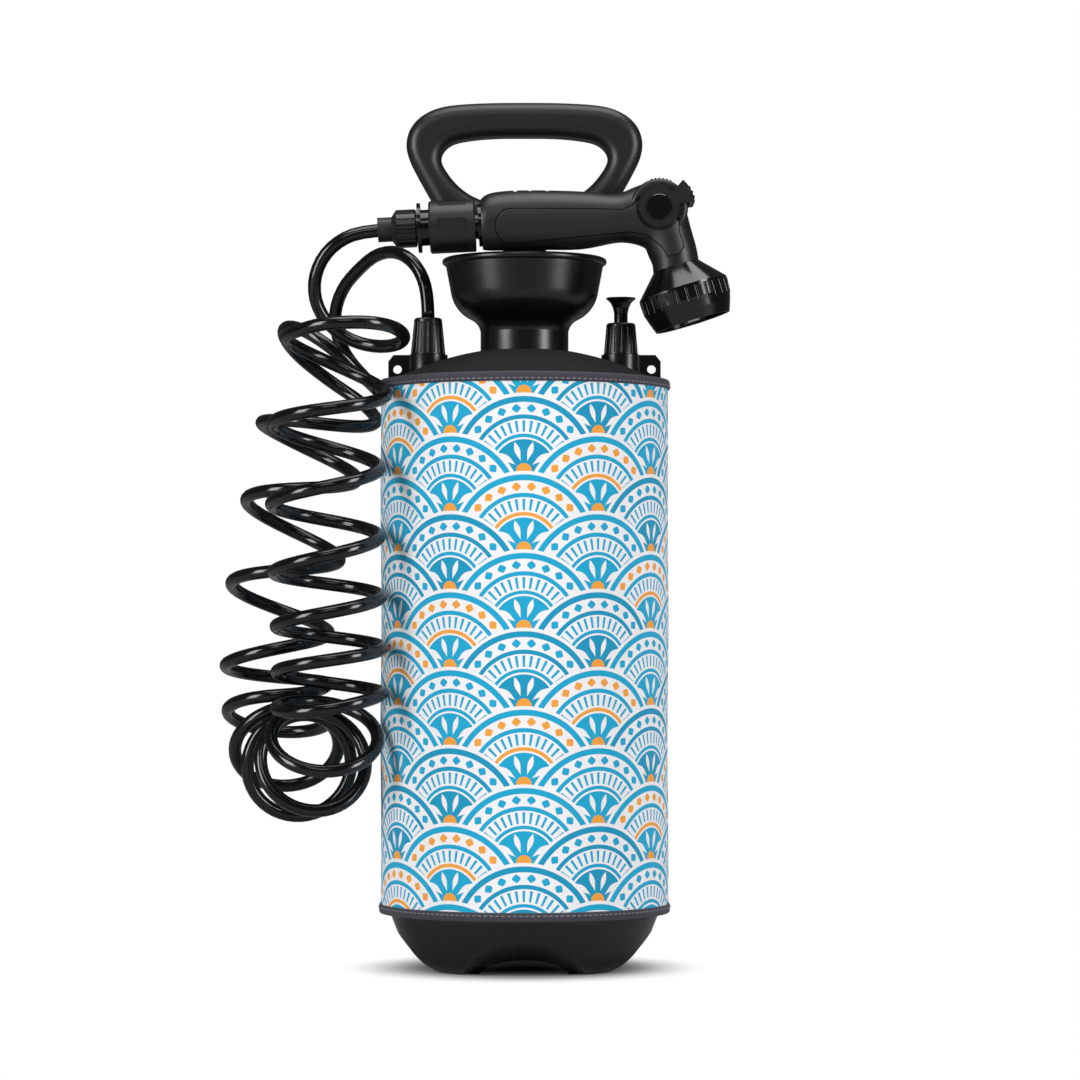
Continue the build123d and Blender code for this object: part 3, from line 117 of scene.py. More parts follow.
front_line = column_line(FRONT_AXIS, np.linspace(FRONT_TOP, COIL_FOOT, COLUMN_STEPS))
rear_line = column_line(REAR_AXIS, np.linspace(COIL_FOOT, REAR_TOP, COLUMN_STEPS))
bend_centre = (front_line[-1] + rear_line[0]) / 2
bend_reach = (rear_line[0] - front_line[-1]) / 2
bend_radius = np.linalg.norm(bend_reach)
bend_drop = np.array([0, 0, bend_radius])
swing = np.linspace(0, np.pi, BEND_STEPS)[1:-1, None]
bend_line = bend_centre - bend_reach * np.cos(swing) - bend_drop * np.sin(swing)
guide = np.vstack([front_line, bend_line, rear_line])
steps = np.linalg.norm(np.diff(guide, axis=0), axis=1)
run = np.concatenate([[0], np.cumsum(steps)])
print("guide line", round(float(run[-1]), 3), "m long, bend radius", round(float(bend_radius), 4))

# %% [markdown]
# ## Winding the hose round its guide
# A spiral is a circle that is carried along a line while it turns. At each place on the
# guide there are two directions square to it: one stays level, the other is made from it
# and the guide's own direction, so the frame never flips in the bend. How far the hose
# has turned at each place is read from the photograph: the leftmost point of each turn
# gives one full turn. The turns are wide apart where the hose hangs and close in the bend.

# %% Turns against the length of the guide
LEVEL_WAY = np.array([0.91, 0.415, 0.0])
level = LEVEL_WAY / np.linalg.norm(LEVEL_WAY)


def along_front(height):
    """The length of guide from its top down to a height on the front column."""
    return np.interp(-height, -front_line[:, 2], run[: len(front_line)])


def along_rear(height):
    """The length of guide from its top to a height on the rear column."""
    return np.interp(height, rear_line[:, 2], run[-len(rear_line):])


FRONT_TIPS = (0.424, 0.368, 0.317, 0.272, 0.2355, 0.204)
REAR_TIPS = (0.206, 0.260, 0.316, 0.374)
FRONT_LEFT = 204.5
REAR_LEFT = 155.5
FULL_TURN = 360
REAR_TURNS = range(12, 16)
SMOOTHING = 41
tip_run = [along_front(height) for height in FRONT_TIPS]
tip_run += [along_rear(height) for height in REAR_TIPS]
tip_turn = [FRONT_LEFT + FULL_TURN * turn for turn in range(len(FRONT_TIPS))]
tip_turn += [REAR_LEFT + FULL_TURN * turn for turn in REAR_TURNS]
fine_run = np.linspace(tip_run[0], tip_run[-1], 600)
fine_turn = np.interp(fine_run, tip_run, tip_turn)
kernel = np.hanning(SMOOTHING) / np.hanning(SMOOTHING).sum()
edge = SMOOTHING // 2
fine_turn[edge:-edge] = np.convolve(fine_turn, kernel, "valid")
turns_made = round((tip_turn[-1] - tip_turn[0]) / FULL_TURN, 2)
print("turns", turns_made, "over", round(tip_run[-1] - tip_run[0], 3), "m")

# %% Points of the spiral
POINTS_PER_TURN = 16
TOP_WINDING = 0.0372
LOW_WINDING = 0.0362
WINDING_HEIGHTS = [0.24, 0.36]
LEAD_TURN = 90
GLANCE = 0.002


def on_guide(where):
    """The guide's point at each length along it."""
    return np.column_stack([np.interp(where, run, guide[:, axis]) for axis in range(3)])


def spiral(first_turn, last_turn):
    """Guide point + winding radius * (cos(turn) * level + sin(turn) * (direction x level))."""
    count = int(abs(last_turn - first_turn) / FULL_TURN * POINTS_PER_TURN) + 1
    turns = np.linspace(first_turn, last_turn, count)
    where = np.interp(turns, fine_turn, fine_run)
    place, ahead, behind = on_guide(where), on_guide(where + GLANCE), on_guide(where - GLANCE)
    direction = (ahead - behind) / np.linalg.norm(ahead - behind, axis=1)[:, None]
    side = level - direction * (direction @ level)[:, None]
    side /= np.linalg.norm(side, axis=1)[:, None]
    other = np.cross(direction, side)
    winding = np.interp(place[:, 2], WINDING_HEIGHTS, [LOW_WINDING, TOP_WINDING])
    angle = np.radians(turns)[:, None]
    return place + winding[:, None] * (np.cos(angle) * side + np.sin(angle) * other)


JOIN_HEIGHT = 0.190
join_turn = float(np.interp(along_rear(JOIN_HEIGHT), fine_run, fine_turn))
front_coil = spiral(tip_turn[0] + LEAD_TURN, join_turn)
rear_coil = spiral(tip_turn[-1] - LEAD_TURN, join_turn)
print("front coil", len(front_coil), "points, rear coil", len(rear_coil), "points")

# %% [markdown]
# ## The uncoiled ends of the hose
# Between the coil and its fittings the hose hangs loose. These stretches are placed from the
# photograph. The rear one climbs out of the outlet nut, arches over and drops in
# a loose loop before the first full turn. The front one leaves the handshower's connector
# level, bends down and swings round into the top turn, which tips towards the camera. The
# points are spaced so that no bend is tighter than about four diameters of the hose.

# %% Points of the loose ends, in metres
OUTLET_LEAD = np.array([
    (-0.0665, 0.0000, 0.4470), (-0.0665, 0.0002, 0.4570), (-0.0688, 0.0022, 0.4739),
    (-0.0769, 0.0093, 0.4884), (-0.0895, 0.0210, 0.4968), (-0.1041, 0.0355, 0.4959),
    (-0.1168, 0.0485, 0.4866), (-0.1281, 0.0601, 0.4755), (-0.1347, 0.0676, 0.4599),
    (-0.1340, 0.0716, 0.4421), (-0.1255, 0.0723, 0.4253), (-0.1138, 0.0657, 0.4122),
    (-0.1053, 0.0523, 0.4033), (-0.1019, 0.0351, 0.3997), (-0.1045, 0.0174, 0.4019),
    (-0.1129, 0.0028, 0.4093), (-0.1252, -0.0052, 0.4208), (-0.1398, -0.0049, 0.4323),
    (-0.1537, 0.0034, 0.4407), (-0.1642, 0.0176, 0.4443), (-0.1693, 0.0345, 0.4424),
    (-0.1678, 0.0511, 0.4358), (-0.1597, 0.0639, 0.4263), (-0.1468, 0.0702, 0.4159),
    (-0.1327, 0.0721, 0.4057), (-0.1188, 0.0681, 0.3965), (-0.1089, 0.0579, 0.3878),
    (-0.1040, 0.0435, 0.3813), (-0.1040, 0.0271, 0.3769), (-0.1100, 0.0114, 0.3738),
    (-0.1217, -0.0006, 0.3734), (-0.1374, -0.0067, 0.3745), (-0.1545, -0.0055, 0.3766),
    (-0.1707, 0.0035, 0.3780), (-0.1825, 0.0205, 0.3786), (-0.1846, 0.0404, 0.3773),
    (-0.1779, 0.0576, 0.3730), (-0.1653, 0.0686, 0.3666),
])
SHOWER_LEAD = np.array([
    (-0.0857, -0.0430, 0.5048), (-0.1082, -0.0430, 0.5037), (-0.1245, -0.0448, 0.4978),
    (-0.1369, -0.0434, 0.4862), (-0.1432, -0.0395, 0.4708), (-0.1421, -0.0345, 0.4549),
    (-0.1338, -0.0301, 0.4408), (-0.1200, -0.0287, 0.4309), (-0.1042, -0.0327, 0.4260),
    (-0.0902, -0.0427, 0.4253), (-0.0815, -0.0578, 0.4274), (-0.0803, -0.0752, 0.4312),
    (-0.0873, -0.0912, 0.4350), (-0.1007, -0.1027, 0.4366), (-0.1179, -0.1071, 0.4364),
    (-0.1360, -0.1033, 0.4353), (-0.1517, -0.0914, 0.4316), (-0.1601, -0.0755, 0.4300),
    (-0.1605, -0.0577, 0.4281), (-0.1535, -0.0422, 0.4242), (-0.1414, -0.0320, 0.4190),
])
rear_points = np.vstack([OUTLET_LEAD, rear_coil])
front_points = np.vstack([SHOWER_LEAD, front_coil])
print("rear hose", len(rear_points), "control points; front hose", len(front_points))

# %% [markdown]
# ## From points to a smooth hose
# A NURBS spline of order 3 passes near its control points with no kinks, as a stiff hose
# does. The line is read back from the spline, and a ring of points is carried along it, so
# each hose becomes a mesh.

# %% Splines and swept tubes
def spline_curve(name, points):
    """A curve with one open NURBS spline of order 3 through the control polygon."""
    curve = bpy.data.curves.new(name, "CURVE")
    curve.dimensions = "3D"
    line = curve.splines.new("NURBS")
    line.points.add(len(points) - 1)
    line.points.foreach_set("co", np.column_stack([points, np.ones(len(points))]).ravel())
    line.order_u = 3
    line.use_endpoint_u = True
    line.resolution_u = 3
    curve.resolution_u = 3
    piece = bpy.data.objects.new(name, curve)
    bpy.context.scene.collection.objects.link(piece)
    return piece


def line_of(points):
    """The smooth line of the spline through the control polygon, as an array of points."""
    helper = spline_curve("line_helper", points)
    line = bpy.data.meshes.new_from_object(helper)
    found = np.empty(len(line.vertices) * 3)
    line.vertices.foreach_get("co", found)
    bpy.data.objects.remove(helper)
    bpy.data.meshes.remove(line)
    return found.reshape(-1, 3)


def length_of(line):
    """The sum of the distances between neighbouring points."""
    return float(np.linalg.norm(np.diff(line, axis=0), axis=1).sum())


def carried_frames(line):
    """Two directions square to the line at each point, turned as little as possible."""
    ahead = np.gradient(line, axis=0)
    ahead /= np.linalg.norm(ahead, axis=1)[:, None]
    side = np.empty_like(line)
    side[0] = np.cross(ahead[0], [0.0, 1.0, 0.0])
    side[0] /= np.linalg.norm(side[0])
    for place in range(1, len(line)):
        carried = side[place - 1] - ahead[place] * (side[place - 1] @ ahead[place])
        side[place] = carried / np.linalg.norm(carried)
    return side, np.cross(ahead, side)


def grid_mesh(name, grid, along=False, caps=False):
    """Faces between the neighbours of a grid of points; each row closes on itself."""
    rows, columns = grid.shape[:2]
    row = np.arange(rows if along else rows - 1)[:, None]
    column = np.arange(columns)[None, :]
    next_row, next_column = (row + 1) % rows, (column + 1) % columns
    faces = np.stack([
        row * columns + column, row * columns + next_column,
        next_row * columns + next_column, next_row * columns + column,
    ], axis=-1).reshape(-1, 4).tolist()
    if caps:
        faces.append(list(range(columns))[::-1])
        faces.append(list(range((rows - 1) * columns, rows * columns)))
    mesh = bpy.data.meshes.new(name)
    mesh.from_pydata(grid.reshape(-1, 3).tolist(), [], faces)
    mesh.polygons.foreach_set("use_smooth", np.ones(len(mesh.polygons), bool))
    mesh.update()
    piece = bpy.data.objects.new(name, mesh)
    bpy.context.scene.collection.objects.link(piece)
    return piece


def swept_tube(name, line, radius, sides=16):
    """Line point + radius * (cos(angle) * side + sin(angle) * other), for each angle round it."""
    side, other = carried_frames(line)
    angle = np.linspace(0, 2 * np.pi, sides, endpoint=False)[None, :, None]
    ring = np.cos(angle) * side[:, None] + np.sin(angle) * other[:, None]
    return grid_mesh(name, line[:, None] + radius * ring, caps=True)


print("front hose's control polygon", round(length_of(front_points), 3), "m")

# %% The two halves of the hose
rear_line_smooth = line_of(rear_points)
front_line_smooth = line_of(front_points[::-1])
rear_hose = swept_tube("hose_rear", rear_line_smooth, HOSE / 2)
front_hose = swept_tube("hose_front", front_line_smooth, HOSE / 2)
print("rear hose", round(length_of(rear_line_smooth), 3), "m")
print("front hose", round(length_of(front_line_smooth), 3), "m")
print("faces", len(rear_hose.data.polygons), "and", len(front_hose.data.polygons))
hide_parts("hose_lead_outlet", "hose_coil_rear")
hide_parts("hose_lead_shower", "hose_coil_front", "hose_coil_bend")
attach(rear_hose, "tank")
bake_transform(front_hose)

# %% [markdown]
# ## Small effects that several finishes share
# A shader node group is built once and placed in many materials, each with its own values.
# The first gives moulded plastic its fine uneven skin. The second gives cloth its threads:
# two sets of waves cross at right angles, and their product stands up where both are high.
# It also gives a painted shade: the colour is darker in the gaps between threads, lighter on them.

# %% Helpers for node trees
def value_of(tree, socket, source):
    """Sets a socket to a number or colour, or links it to another socket."""
    if isinstance(source, bpy.types.NodeSocket):
        tree.links.new(source, socket)
    else:
        socket.default_value = source


def calc(tree, operation, *sources, clamp=False):
    """One Math node: the operation on the sources."""
    node = tree.nodes.new("ShaderNodeMath")
    node.operation = operation
    node.use_clamp = clamp
    for socket, source in zip(node.inputs, sources):
        value_of(tree, socket, source)
    return node.outputs[0]


def blended(tree, share, first, second):
    """A colour that goes from the first to the second as the share goes from 0 to 1."""
    node = tree.nodes.new("ShaderNodeMix")
    node.data_type = "RGBA"
    value_of(tree, node.inputs["Factor"], share)
    value_of(tree, node.inputs[6], first)
    value_of(tree, node.inputs[7], second)
    return node.outputs[2]


def group_with(name, inputs, outputs):
    """An empty node group with float inputs (name, value) and named outputs (name, kind)."""
    tree = bpy.data.node_groups.new(name, "ShaderNodeTree")
    for label, value in inputs:
        socket = tree.interface.new_socket(label, in_out="INPUT", socket_type="NodeSocketFloat")
        socket.default_value = value
    for label, kind in outputs:
        tree.interface.new_socket(label, in_out="OUTPUT", socket_type=kind)
    return tree, tree.nodes.new("NodeGroupInput"), tree.nodes.new("NodeGroupOutput")


# %% Moulded skin
skin, skin_in, skin_out = group_with(
    "moulded_skin",
    [("Grain Size", 0.0006), ("Roughness", 0.4), ("Unevenness", 0.06)],
    [("Height", "NodeSocketFloat"), ("Roughness", "NodeSocketFloat"), ("Tone", "NodeSocketFloat")],
)
place = skin.nodes.new("ShaderNodeTexCoord")
fine = skin.nodes.new("ShaderNodeTexNoise")
skin.links.new(place.outputs["Object"], fine.inputs["Vector"])
value_of(skin, fine.inputs["Scale"], calc(skin, "DIVIDE", 1.0, skin_in.outputs["Grain Size"]))
fine.inputs["Detail"].default_value = 2.0
broad = skin.nodes.new("ShaderNodeTexNoise")
skin.links.new(place.outputs["Object"], broad.inputs["Vector"])
broad.inputs["Scale"].default_value = 45.0
broad.inputs["Detail"].default_value = 3.0
skin.links.new(fine.outputs["Fac"], skin_out.inputs["Height"])
off_middle = calc(skin, "SUBTRACT", broad.outputs["Fac"], 0.5)
drift = calc(skin, "MULTIPLY", off_middle, skin_in.outputs["Unevenness"])
skin.links.new(calc(skin, "ADD", skin_in.outputs["Roughness"], drift), skin_out.inputs["Roughness"])
skin.links.new(broad.outputs["Fac"], skin_out.inputs["Tone"])
print("group", skin.name, [item.name for item in skin.interface.items_tree])

# %% Cloth threads and their painted shade
threads, threads_in, threads_out = group_with(
    "cloth_threads",
    [("U", 0.0), ("V", 0.0), ("Pitch", 0.0008)],
    [("Height", "NodeSocketFloat"), ("Shade", "NodeSocketFloat")],
)
across = calc(threads, "DIVIDE", threads_in.outputs["U"], threads_in.outputs["Pitch"])
upward = calc(threads, "DIVIDE", threads_in.outputs["V"], threads_in.outputs["Pitch"])
warp = calc(threads, "ABSOLUTE", calc(threads, "SINE", calc(threads, "MULTIPLY", across, math.pi)))
weft = calc(threads, "ABSOLUTE", calc(threads, "SINE", calc(threads, "MULTIPLY", upward, math.pi)))
crossing = calc(threads, "MULTIPLY", warp, weft)
threads.links.new(crossing, threads_out.inputs["Height"])
# Painted shade: the colour is 0.8 times as bright in the gaps between threads and up to 1.05 on
# them.
painted_gap_shade = calc(threads, "MULTIPLY_ADD", crossing, 0.25, 0.8)
threads.links.new(painted_gap_shade, threads_out.inputs["Shade"])
print("group", threads.name, [item.name for item in threads.interface.items_tree])

# %% [markdown]
# ## Finishes for the rigid pieces
# Everything rigid is moulded plastic, rubber or metal. One recipe makes them all: a base
# colour that drifts a little in tone, a roughness that drifts with it, and a grain that
# lifts the surface by a few hundredths of a millimetre. Only the numbers differ: satin
# for the bottle, softer for the grips and polished for the spray head and the hose.

# %% One recipe for moulded finishes
def moulded(
    name, colour, roughness, grain=0.0006, lift=0.00002, unevenness=0.06, metal=0.0, tone=0.15,
):
    """Principled shader whose roughness, tone and bump come from the moulded skin group."""
    finish = bpy.data.materials.new(name)
    finish.use_nodes = True
    tree = finish.node_tree
    shader = tree.nodes["Principled BSDF"]
    group = tree.nodes.new("ShaderNodeGroup")
    group.node_tree = skin
    group.inputs["Grain Size"].default_value = grain
    group.inputs["Roughness"].default_value = roughness
    group.inputs["Unevenness"].default_value = unevenness
    darker = [channel * (1 - tone) for channel in colour] + [1.0]
    lighter = [channel * (1 + tone) for channel in colour] + [1.0]
    paint = blended(tree, group.outputs["Tone"], darker, lighter)
    tree.links.new(paint, shader.inputs["Base Color"])
    tree.links.new(group.outputs["Roughness"], shader.inputs["Roughness"])
    bump = tree.nodes.new("ShaderNodeBump")
    bump.inputs["Distance"].default_value = lift
    tree.links.new(group.outputs["Height"], bump.inputs["Height"])
    tree.links.new(bump.outputs["Normal"], shader.inputs["Normal"])
    shader.inputs["Metallic"].default_value = metal
    return finish


bottle_satin = moulded("bottle_satin", (0.0028, 0.0028, 0.0035), 0.27, grain=0.0005, lift=0.00003)
grip_satin = moulded("grip_satin", (0.006, 0.0056, 0.007), 0.4, grain=0.0004, lift=0.00004)
grip_soft = moulded("grip_soft", (0.006, 0.0056, 0.007), 0.47, grain=0.0003, lift=0.00005)
polished_black = moulded(
    "polished_black", (0.003, 0.003, 0.0035), 0.14, grain=0.002, lift=0.000004, unevenness=0.03,
)
hose_gloss = moulded(
    "hose_gloss", (0.003, 0.003, 0.0035), 0.15, grain=0.003, lift=0.00001, unevenness=0.04,
)
seal_rubber = moulded("seal_rubber", (0.02, 0.02, 0.02), 0.7, grain=0.0004, lift=0.00003)
clear_tubing = moulded("clear_tubing", (0.62, 0.65, 0.64), 0.3, tone=0.05)
plain_white = moulded("plain_white", (0.72, 0.72, 0.7), 0.35, tone=0.04)
spring_wire = moulded("spring_wire", (0.56, 0.56, 0.58), 0.25, metal=1.0, tone=0.08)
drawn_rod = moulded("drawn_rod", (0.62, 0.62, 0.64), 0.3, grain=0.0008, metal=1.0, tone=0.06)
print("finishes", [finish.name for finish in bpy.data.materials])

# %% Dress the CAD pieces
FINISHES = {
    "tank": bottle_satin, "funnel": bottle_satin, "outlet_fitting": bottle_satin,
    "outlet_nut": bottle_satin, "relief_base": bottle_satin, "relief_cap": bottle_satin,
    "relief_stem": bottle_satin, "pump_collar": bottle_satin, "rod_guide": bottle_satin,
    "pump_handle": grip_satin, "gun_body": grip_satin, "flow_lever": grip_satin,
    "connector_sleeve": grip_satin, "hose_nut": bottle_satin, "hose_tail": grip_soft,
    "grip_panel_front": grip_soft, "grip_panel_rear": grip_soft,
    "inlet_nipple": polished_black, "connector_body": polished_black,
    "nozzle_cone": polished_black, "spray_ring": polished_black, "spray_face": bottle_satin,
    "pivot_cap_front": polished_black, "pivot_cap_rear": polished_black,
    "outlet_seal": seal_rubber, "relief_gasket": seal_rubber, "collar_seal": seal_rubber,
    "check_valve": seal_rubber, "piston_ring": seal_rubber, "relief_poppet_seal": seal_rubber,
    "inlet_o_ring": seal_rubber, "head_o_ring": seal_rubber,
    "dip_tube": clear_tubing, "dip_filter": plain_white, "pump_barrel": plain_white,
    "piston": plain_white, "valve_spool": plain_white,
    "relief_spring": spring_wire, "connector_spring": spring_wire, "retaining_ring": spring_wire,
    "handle_pin": spring_wire, "face_screw": spring_wire, "pump_rod": drawn_rod,
}
for node, finish in FINISHES.items():
    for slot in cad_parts[node].material_slots:
        slot.material = finish
rear_hose.data.materials.append(hose_gloss)
front_hose.data.materials.append(hose_gloss)
print(len(FINISHES), "CAD pieces dressed")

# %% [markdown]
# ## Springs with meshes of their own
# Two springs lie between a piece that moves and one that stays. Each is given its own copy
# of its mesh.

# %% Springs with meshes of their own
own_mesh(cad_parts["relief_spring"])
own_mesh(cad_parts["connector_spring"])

# %% [markdown]
# ## The soft cover
# The cover is a stretched tube of padded cloth round the wall, a black panel that lies on
# the shoulder, and two bound edges with a line of stitches. Each is a closed section turned
# about the bottle's axis. The cloth is not a perfect cylinder: it puckers a little along
# the bound edges and lies in very shallow waves between them. Every point of the mesh
# also gets its place on the flat cloth, in metres, so the print keeps its real scale.

# %% Turned cloth
ROUND = 288
COVER_RADIUS = 0.0994
COVER_INSIDE = 0.0958
COVER_LOW, COVER_HIGH = 0.0392, 0.4008
ROWS_UP = 110
round_angle = np.linspace(0, 2 * np.pi, ROUND, endpoint=False)


def turned(name, section, waves=None):
    """(radius * cos, radius * sin, height) for each point of a closed section and each angle."""
    radius = np.repeat(section[:, :1], ROUND, axis=1)
    height = np.repeat(section[:, 1:], ROUND, axis=1)
    if waves is not None:
        radius = radius + waves(round_angle[None, :], height)
    grid = np.stack([radius * np.cos(round_angle), radius * np.sin(round_angle), height], axis=-1)
    piece = grid_mesh(name, grid, along=True)
    rows = len(section)
    way = np.linalg.norm(np.diff(section, axis=0, append=section[:1]), axis=1)
    length = np.concatenate([[0], np.cumsum(way)]) + section[0, 1]
    row = np.arange(rows)[:, None, None] + np.array([0, 0, 1, 1])
    column = np.arange(ROUND)[None, :, None] + np.array([0, 1, 1, 0])
    across = column / ROUND * 2 * np.pi * COVER_RADIUS
    flat = np.stack(np.broadcast_arrays(across, length[row]), axis=-1)
    layer = piece.data.uv_layers.new(name="cloth")
    layer.data.foreach_set("uv", flat.astype(np.float32).ravel())
    return piece


def cover_waves(angle, height):
    """Shallow waves, and puckers that fade away from the two bound edges."""
    edge = np.minimum(height - COVER_LOW, COVER_HIGH - height)
    puckers = 0.00018 * np.exp(-np.maximum(edge - 0.006, 0) / 0.007) * np.cos(88 * angle)
    waves = 0.00022 * np.sin(3 * angle + 31 * height) + 0.00015 * np.sin(5 * angle - 47 * height)
    return (puckers + waves - 0.0004) * np.clip(edge / 0.004, 0, 1)


heights = np.linspace(COVER_LOW, COVER_HIGH, ROWS_UP)
outer_side = np.column_stack([np.full(ROWS_UP, COVER_RADIUS), heights])
inner_side = np.array([(COVER_INSIDE, COVER_HIGH), (COVER_INSIDE, COVER_LOW)])
cover = turned("sleeve_cloth", np.vstack([outer_side, inner_side]), cover_waves)
print("cover", len(cover.data.polygons), "faces")

# %% The panel on the shoulder
SHOULDER = np.polyfit([0.0900, 0.06015, 0.0303], [0.4020, 0.41435, 0.4217], 2)
PANEL_TOP, PANEL_UNDER = 0.0032, 0.0003
panel_reach = np.linspace(0.0312, 0.0900, 40)
shoulder_height = np.polyval(SHOULDER, panel_reach)
panel_top = np.column_stack([panel_reach, shoulder_height + PANEL_TOP])
panel_under = np.column_stack([panel_reach, shoulder_height + PANEL_UNDER])
panel_rim = np.array([
    (0.0925, 0.4045), (0.0950, 0.4039), (0.0975, 0.4037), (0.0988, 0.4031), (0.0991, 0.4020),
    (0.0990, 0.4009), (0.0953, 0.4009), (0.0925, 0.4014),
])
panel = turned("shoulder_cloth", np.vstack([panel_top, panel_rim, panel_under[::-1]])[::-1])


def cutter(size, place, round_one=False):
    """A cylinder or a box through which the panel is cut."""
    if round_one:
        bpy.ops.mesh.primitive_cylinder_add(
            vertices=64, radius=size[0], depth=size[2], location=place,
        )
    else:
        bpy.ops.mesh.primitive_cube_add(size=1, location=place)
        bpy.context.object.scale = size
    return bpy.context.object


PORT, LUG = 0.0665, 0.08545
CUT_HEIGHT = 0.41
PORT_CUT = (0.0142, 0, 0.06)
LUG_CUT = (0.0183, 0.0064, 0.06)
cutters = [cutter(PORT_CUT, (side * PORT, 0, CUT_HEIGHT), round_one=True) for side in (-1, 1)]
cutters += [cutter(LUG_CUT, (side * LUG, 0, CUT_HEIGHT)) for side in (-1, 1)]
for number, tool in enumerate(cutters):
    cut = panel.modifiers.new(f"cut_{number}", "BOOLEAN")
    cut.operation = "DIFFERENCE"
    cut.solver = "EXACT"
    cut.object = tool
bpy.context.view_layer.update()
shaped = bpy.data.meshes.new_from_object(panel.evaluated_get(bpy.context.evaluated_depsgraph_get()))
panel.modifiers.clear()
panel.data = shaped
for tool in cutters:
    bpy.data.objects.remove(tool)
print("panel", len(panel.data.polygons), "faces after the cuts")

# %% Bound edges and their stitches
lower_binding = turned("binding_lower", np.array([
    (0.0952, 0.0386), (0.0975, 0.0384), (0.0996, 0.0386), (0.1001, 0.0392), (0.1003, 0.0405),
    (0.1003, 0.0430), (0.1000, 0.0446), (0.0994, 0.0448), (0.0994, 0.0394), (0.0952, 0.0392),
]))
upper_binding = turned("binding_upper", np.array([
    (0.0994, 0.3982), (0.1000, 0.3984), (0.1003, 0.4000), (0.1003, 0.4025), (0.1001, 0.4038),
    (0.0994, 0.4046), (0.0975, 0.4048), (0.0952, 0.4047), (0.0952, 0.4040), (0.0992, 0.4038),
]))
STITCHES = 158
STITCH_HALF = 0.0015
STITCH_THICK = 0.0005
STITCH_RINGS, STITCH_SIDES = 7, 8
SEAM_RADIUS = 0.1003
SEAM_LIFT = 0.00005


def stitch_line(name, height):
    """A ring of short capsules: each is a ball whose points are moved apart along the seam."""
    across = np.linspace(-1, 1, STITCH_RINGS)[:, None]
    turn = np.linspace(0, 2 * np.pi, STITCH_SIDES, endpoint=False)[None, :]
    thick = STITCH_THICK * np.sqrt(np.maximum(1 - across**4, 0.02))
    outward = SEAM_RADIUS + SEAM_LIFT + thick * np.cos(turn)
    upward = height + thick * np.sin(turn)
    centre = 2 * np.pi * np.arange(STITCHES)[:, None, None] / STITCHES
    bearing = centre + across * STITCH_HALF / SEAM_RADIUS
    points = np.stack(np.broadcast_arrays(
        outward * np.cos(bearing), outward * np.sin(bearing), upward,
    ), axis=-1).reshape(-1, 3)
    row, column = np.arange(STITCH_RINGS - 1)[:, None], np.arange(STITCH_SIDES)[None, :]
    beside = (column + 1) % STITCH_SIDES
    quad = np.stack([
        row * STITCH_SIDES + column, row * STITCH_SIDES + beside,
        (row + 1) * STITCH_SIDES + beside, (row + 1) * STITCH_SIDES + column,
    ], axis=-1).reshape(-1, 4)
    first = np.arange(STITCHES)[:, None] * STITCH_RINGS * STITCH_SIDES
    quads = (quad[None] + first[:, None]).reshape(-1, 4).tolist()
    corner = np.arange(STITCH_SIDES)
    ends = (first + corner[::-1]).tolist()
    ends += (first + (STITCH_RINGS - 1) * STITCH_SIDES + corner).tolist()
    mesh = bpy.data.meshes.new(name)
    mesh.from_pydata(points.tolist(), [], quads + ends)
    mesh.polygons.foreach_set("use_smooth", np.ones(len(mesh.polygons), bool))
    piece = bpy.data.objects.new(name, mesh)
    bpy.context.scene.collection.objects.link(piece)
    return piece


lower_stitches = stitch_line("stitches_lower", 0.0425)
upper_stitches = stitch_line("stitches_upper", 0.4000)
for piece, node, cloth_slot in (
    (cover, "sleeve", "printed_fabric"),
    (panel, "top_panel", "black_fabric"),
    (upper_binding, "top_binding", "binding_tape"),
    (lower_binding, "bottom_binding", "binding_tape"),
):
    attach(piece, "tank")
    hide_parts(node)
for piece in (lower_stitches, upper_stitches):
    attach(piece, "tank")
print("bindings and", 2 * STITCHES, "stitches")

# %% [markdown]
# ## The printed cloth
# The print is made of overlapping fans, as on a fish's scales. Rows of circles lie half a
# radius apart and are shifted by a radius, and the lowest circle that covers a point owns
# it. Inside a fan, the distance from its centre picks a band: rings, dots, petals and
# stripes in turquoise, orange and white. Two kinds of fan take turns.

# %% Which fan owns a point
fans, fans_in, fans_out = group_with(
    "fan_print",
    [("U", 0.0), ("V", 0.0), ("Fan Radius", 0.052)],
    [("Colour", "NodeSocketColor")],
)
across = calc(fans, "DIVIDE", fans_in.outputs["U"], fans_in.outputs["Fan Radius"])
radii_up = calc(fans, "DIVIDE", fans_in.outputs["V"], fans_in.outputs["Fan Radius"])
upward = calc(fans, "MULTIPLY", radii_up, 2.0)
lowest = calc(fans, "CEIL", calc(fans, "SUBTRACT", upward, 2.0))


def fan_of_row(step):
    """Distance, angle and kind for the fan of the row so many steps above the lowest."""
    row = calc(fans, "ADD", lowest, float(step))
    odd = calc(fans, "FLOORED_MODULO", row, 2.0)
    shifted = calc(fans, "ADD", calc(fans, "SUBTRACT", across, odd), 1.0)
    sideways = calc(fans, "SUBTRACT", calc(fans, "FLOORED_MODULO", shifted, 2.0), 1.0)
    above = calc(fans, "DIVIDE", calc(fans, "SUBTRACT", upward, row), 2.0)
    squares = calc(fans, "MULTIPLY_ADD", above, above, calc(fans, "MULTIPLY", sideways, sideways))
    number = calc(fans, "FLOOR", calc(fans, "DIVIDE", shifted, 2.0))
    kind = calc(fans, "FLOORED_MODULO", calc(fans, "MULTIPLY_ADD", row, 2.0, number), 3.0)
    return calc(fans, "SQRT", squares), calc(fans, "ARCTAN2", above, sideways), kind


def chosen(share, first, second):
    """The second number where the share is 1, else the first."""
    return calc(fans, "MULTIPLY_ADD", calc(fans, "SUBTRACT", second, first), share, first)


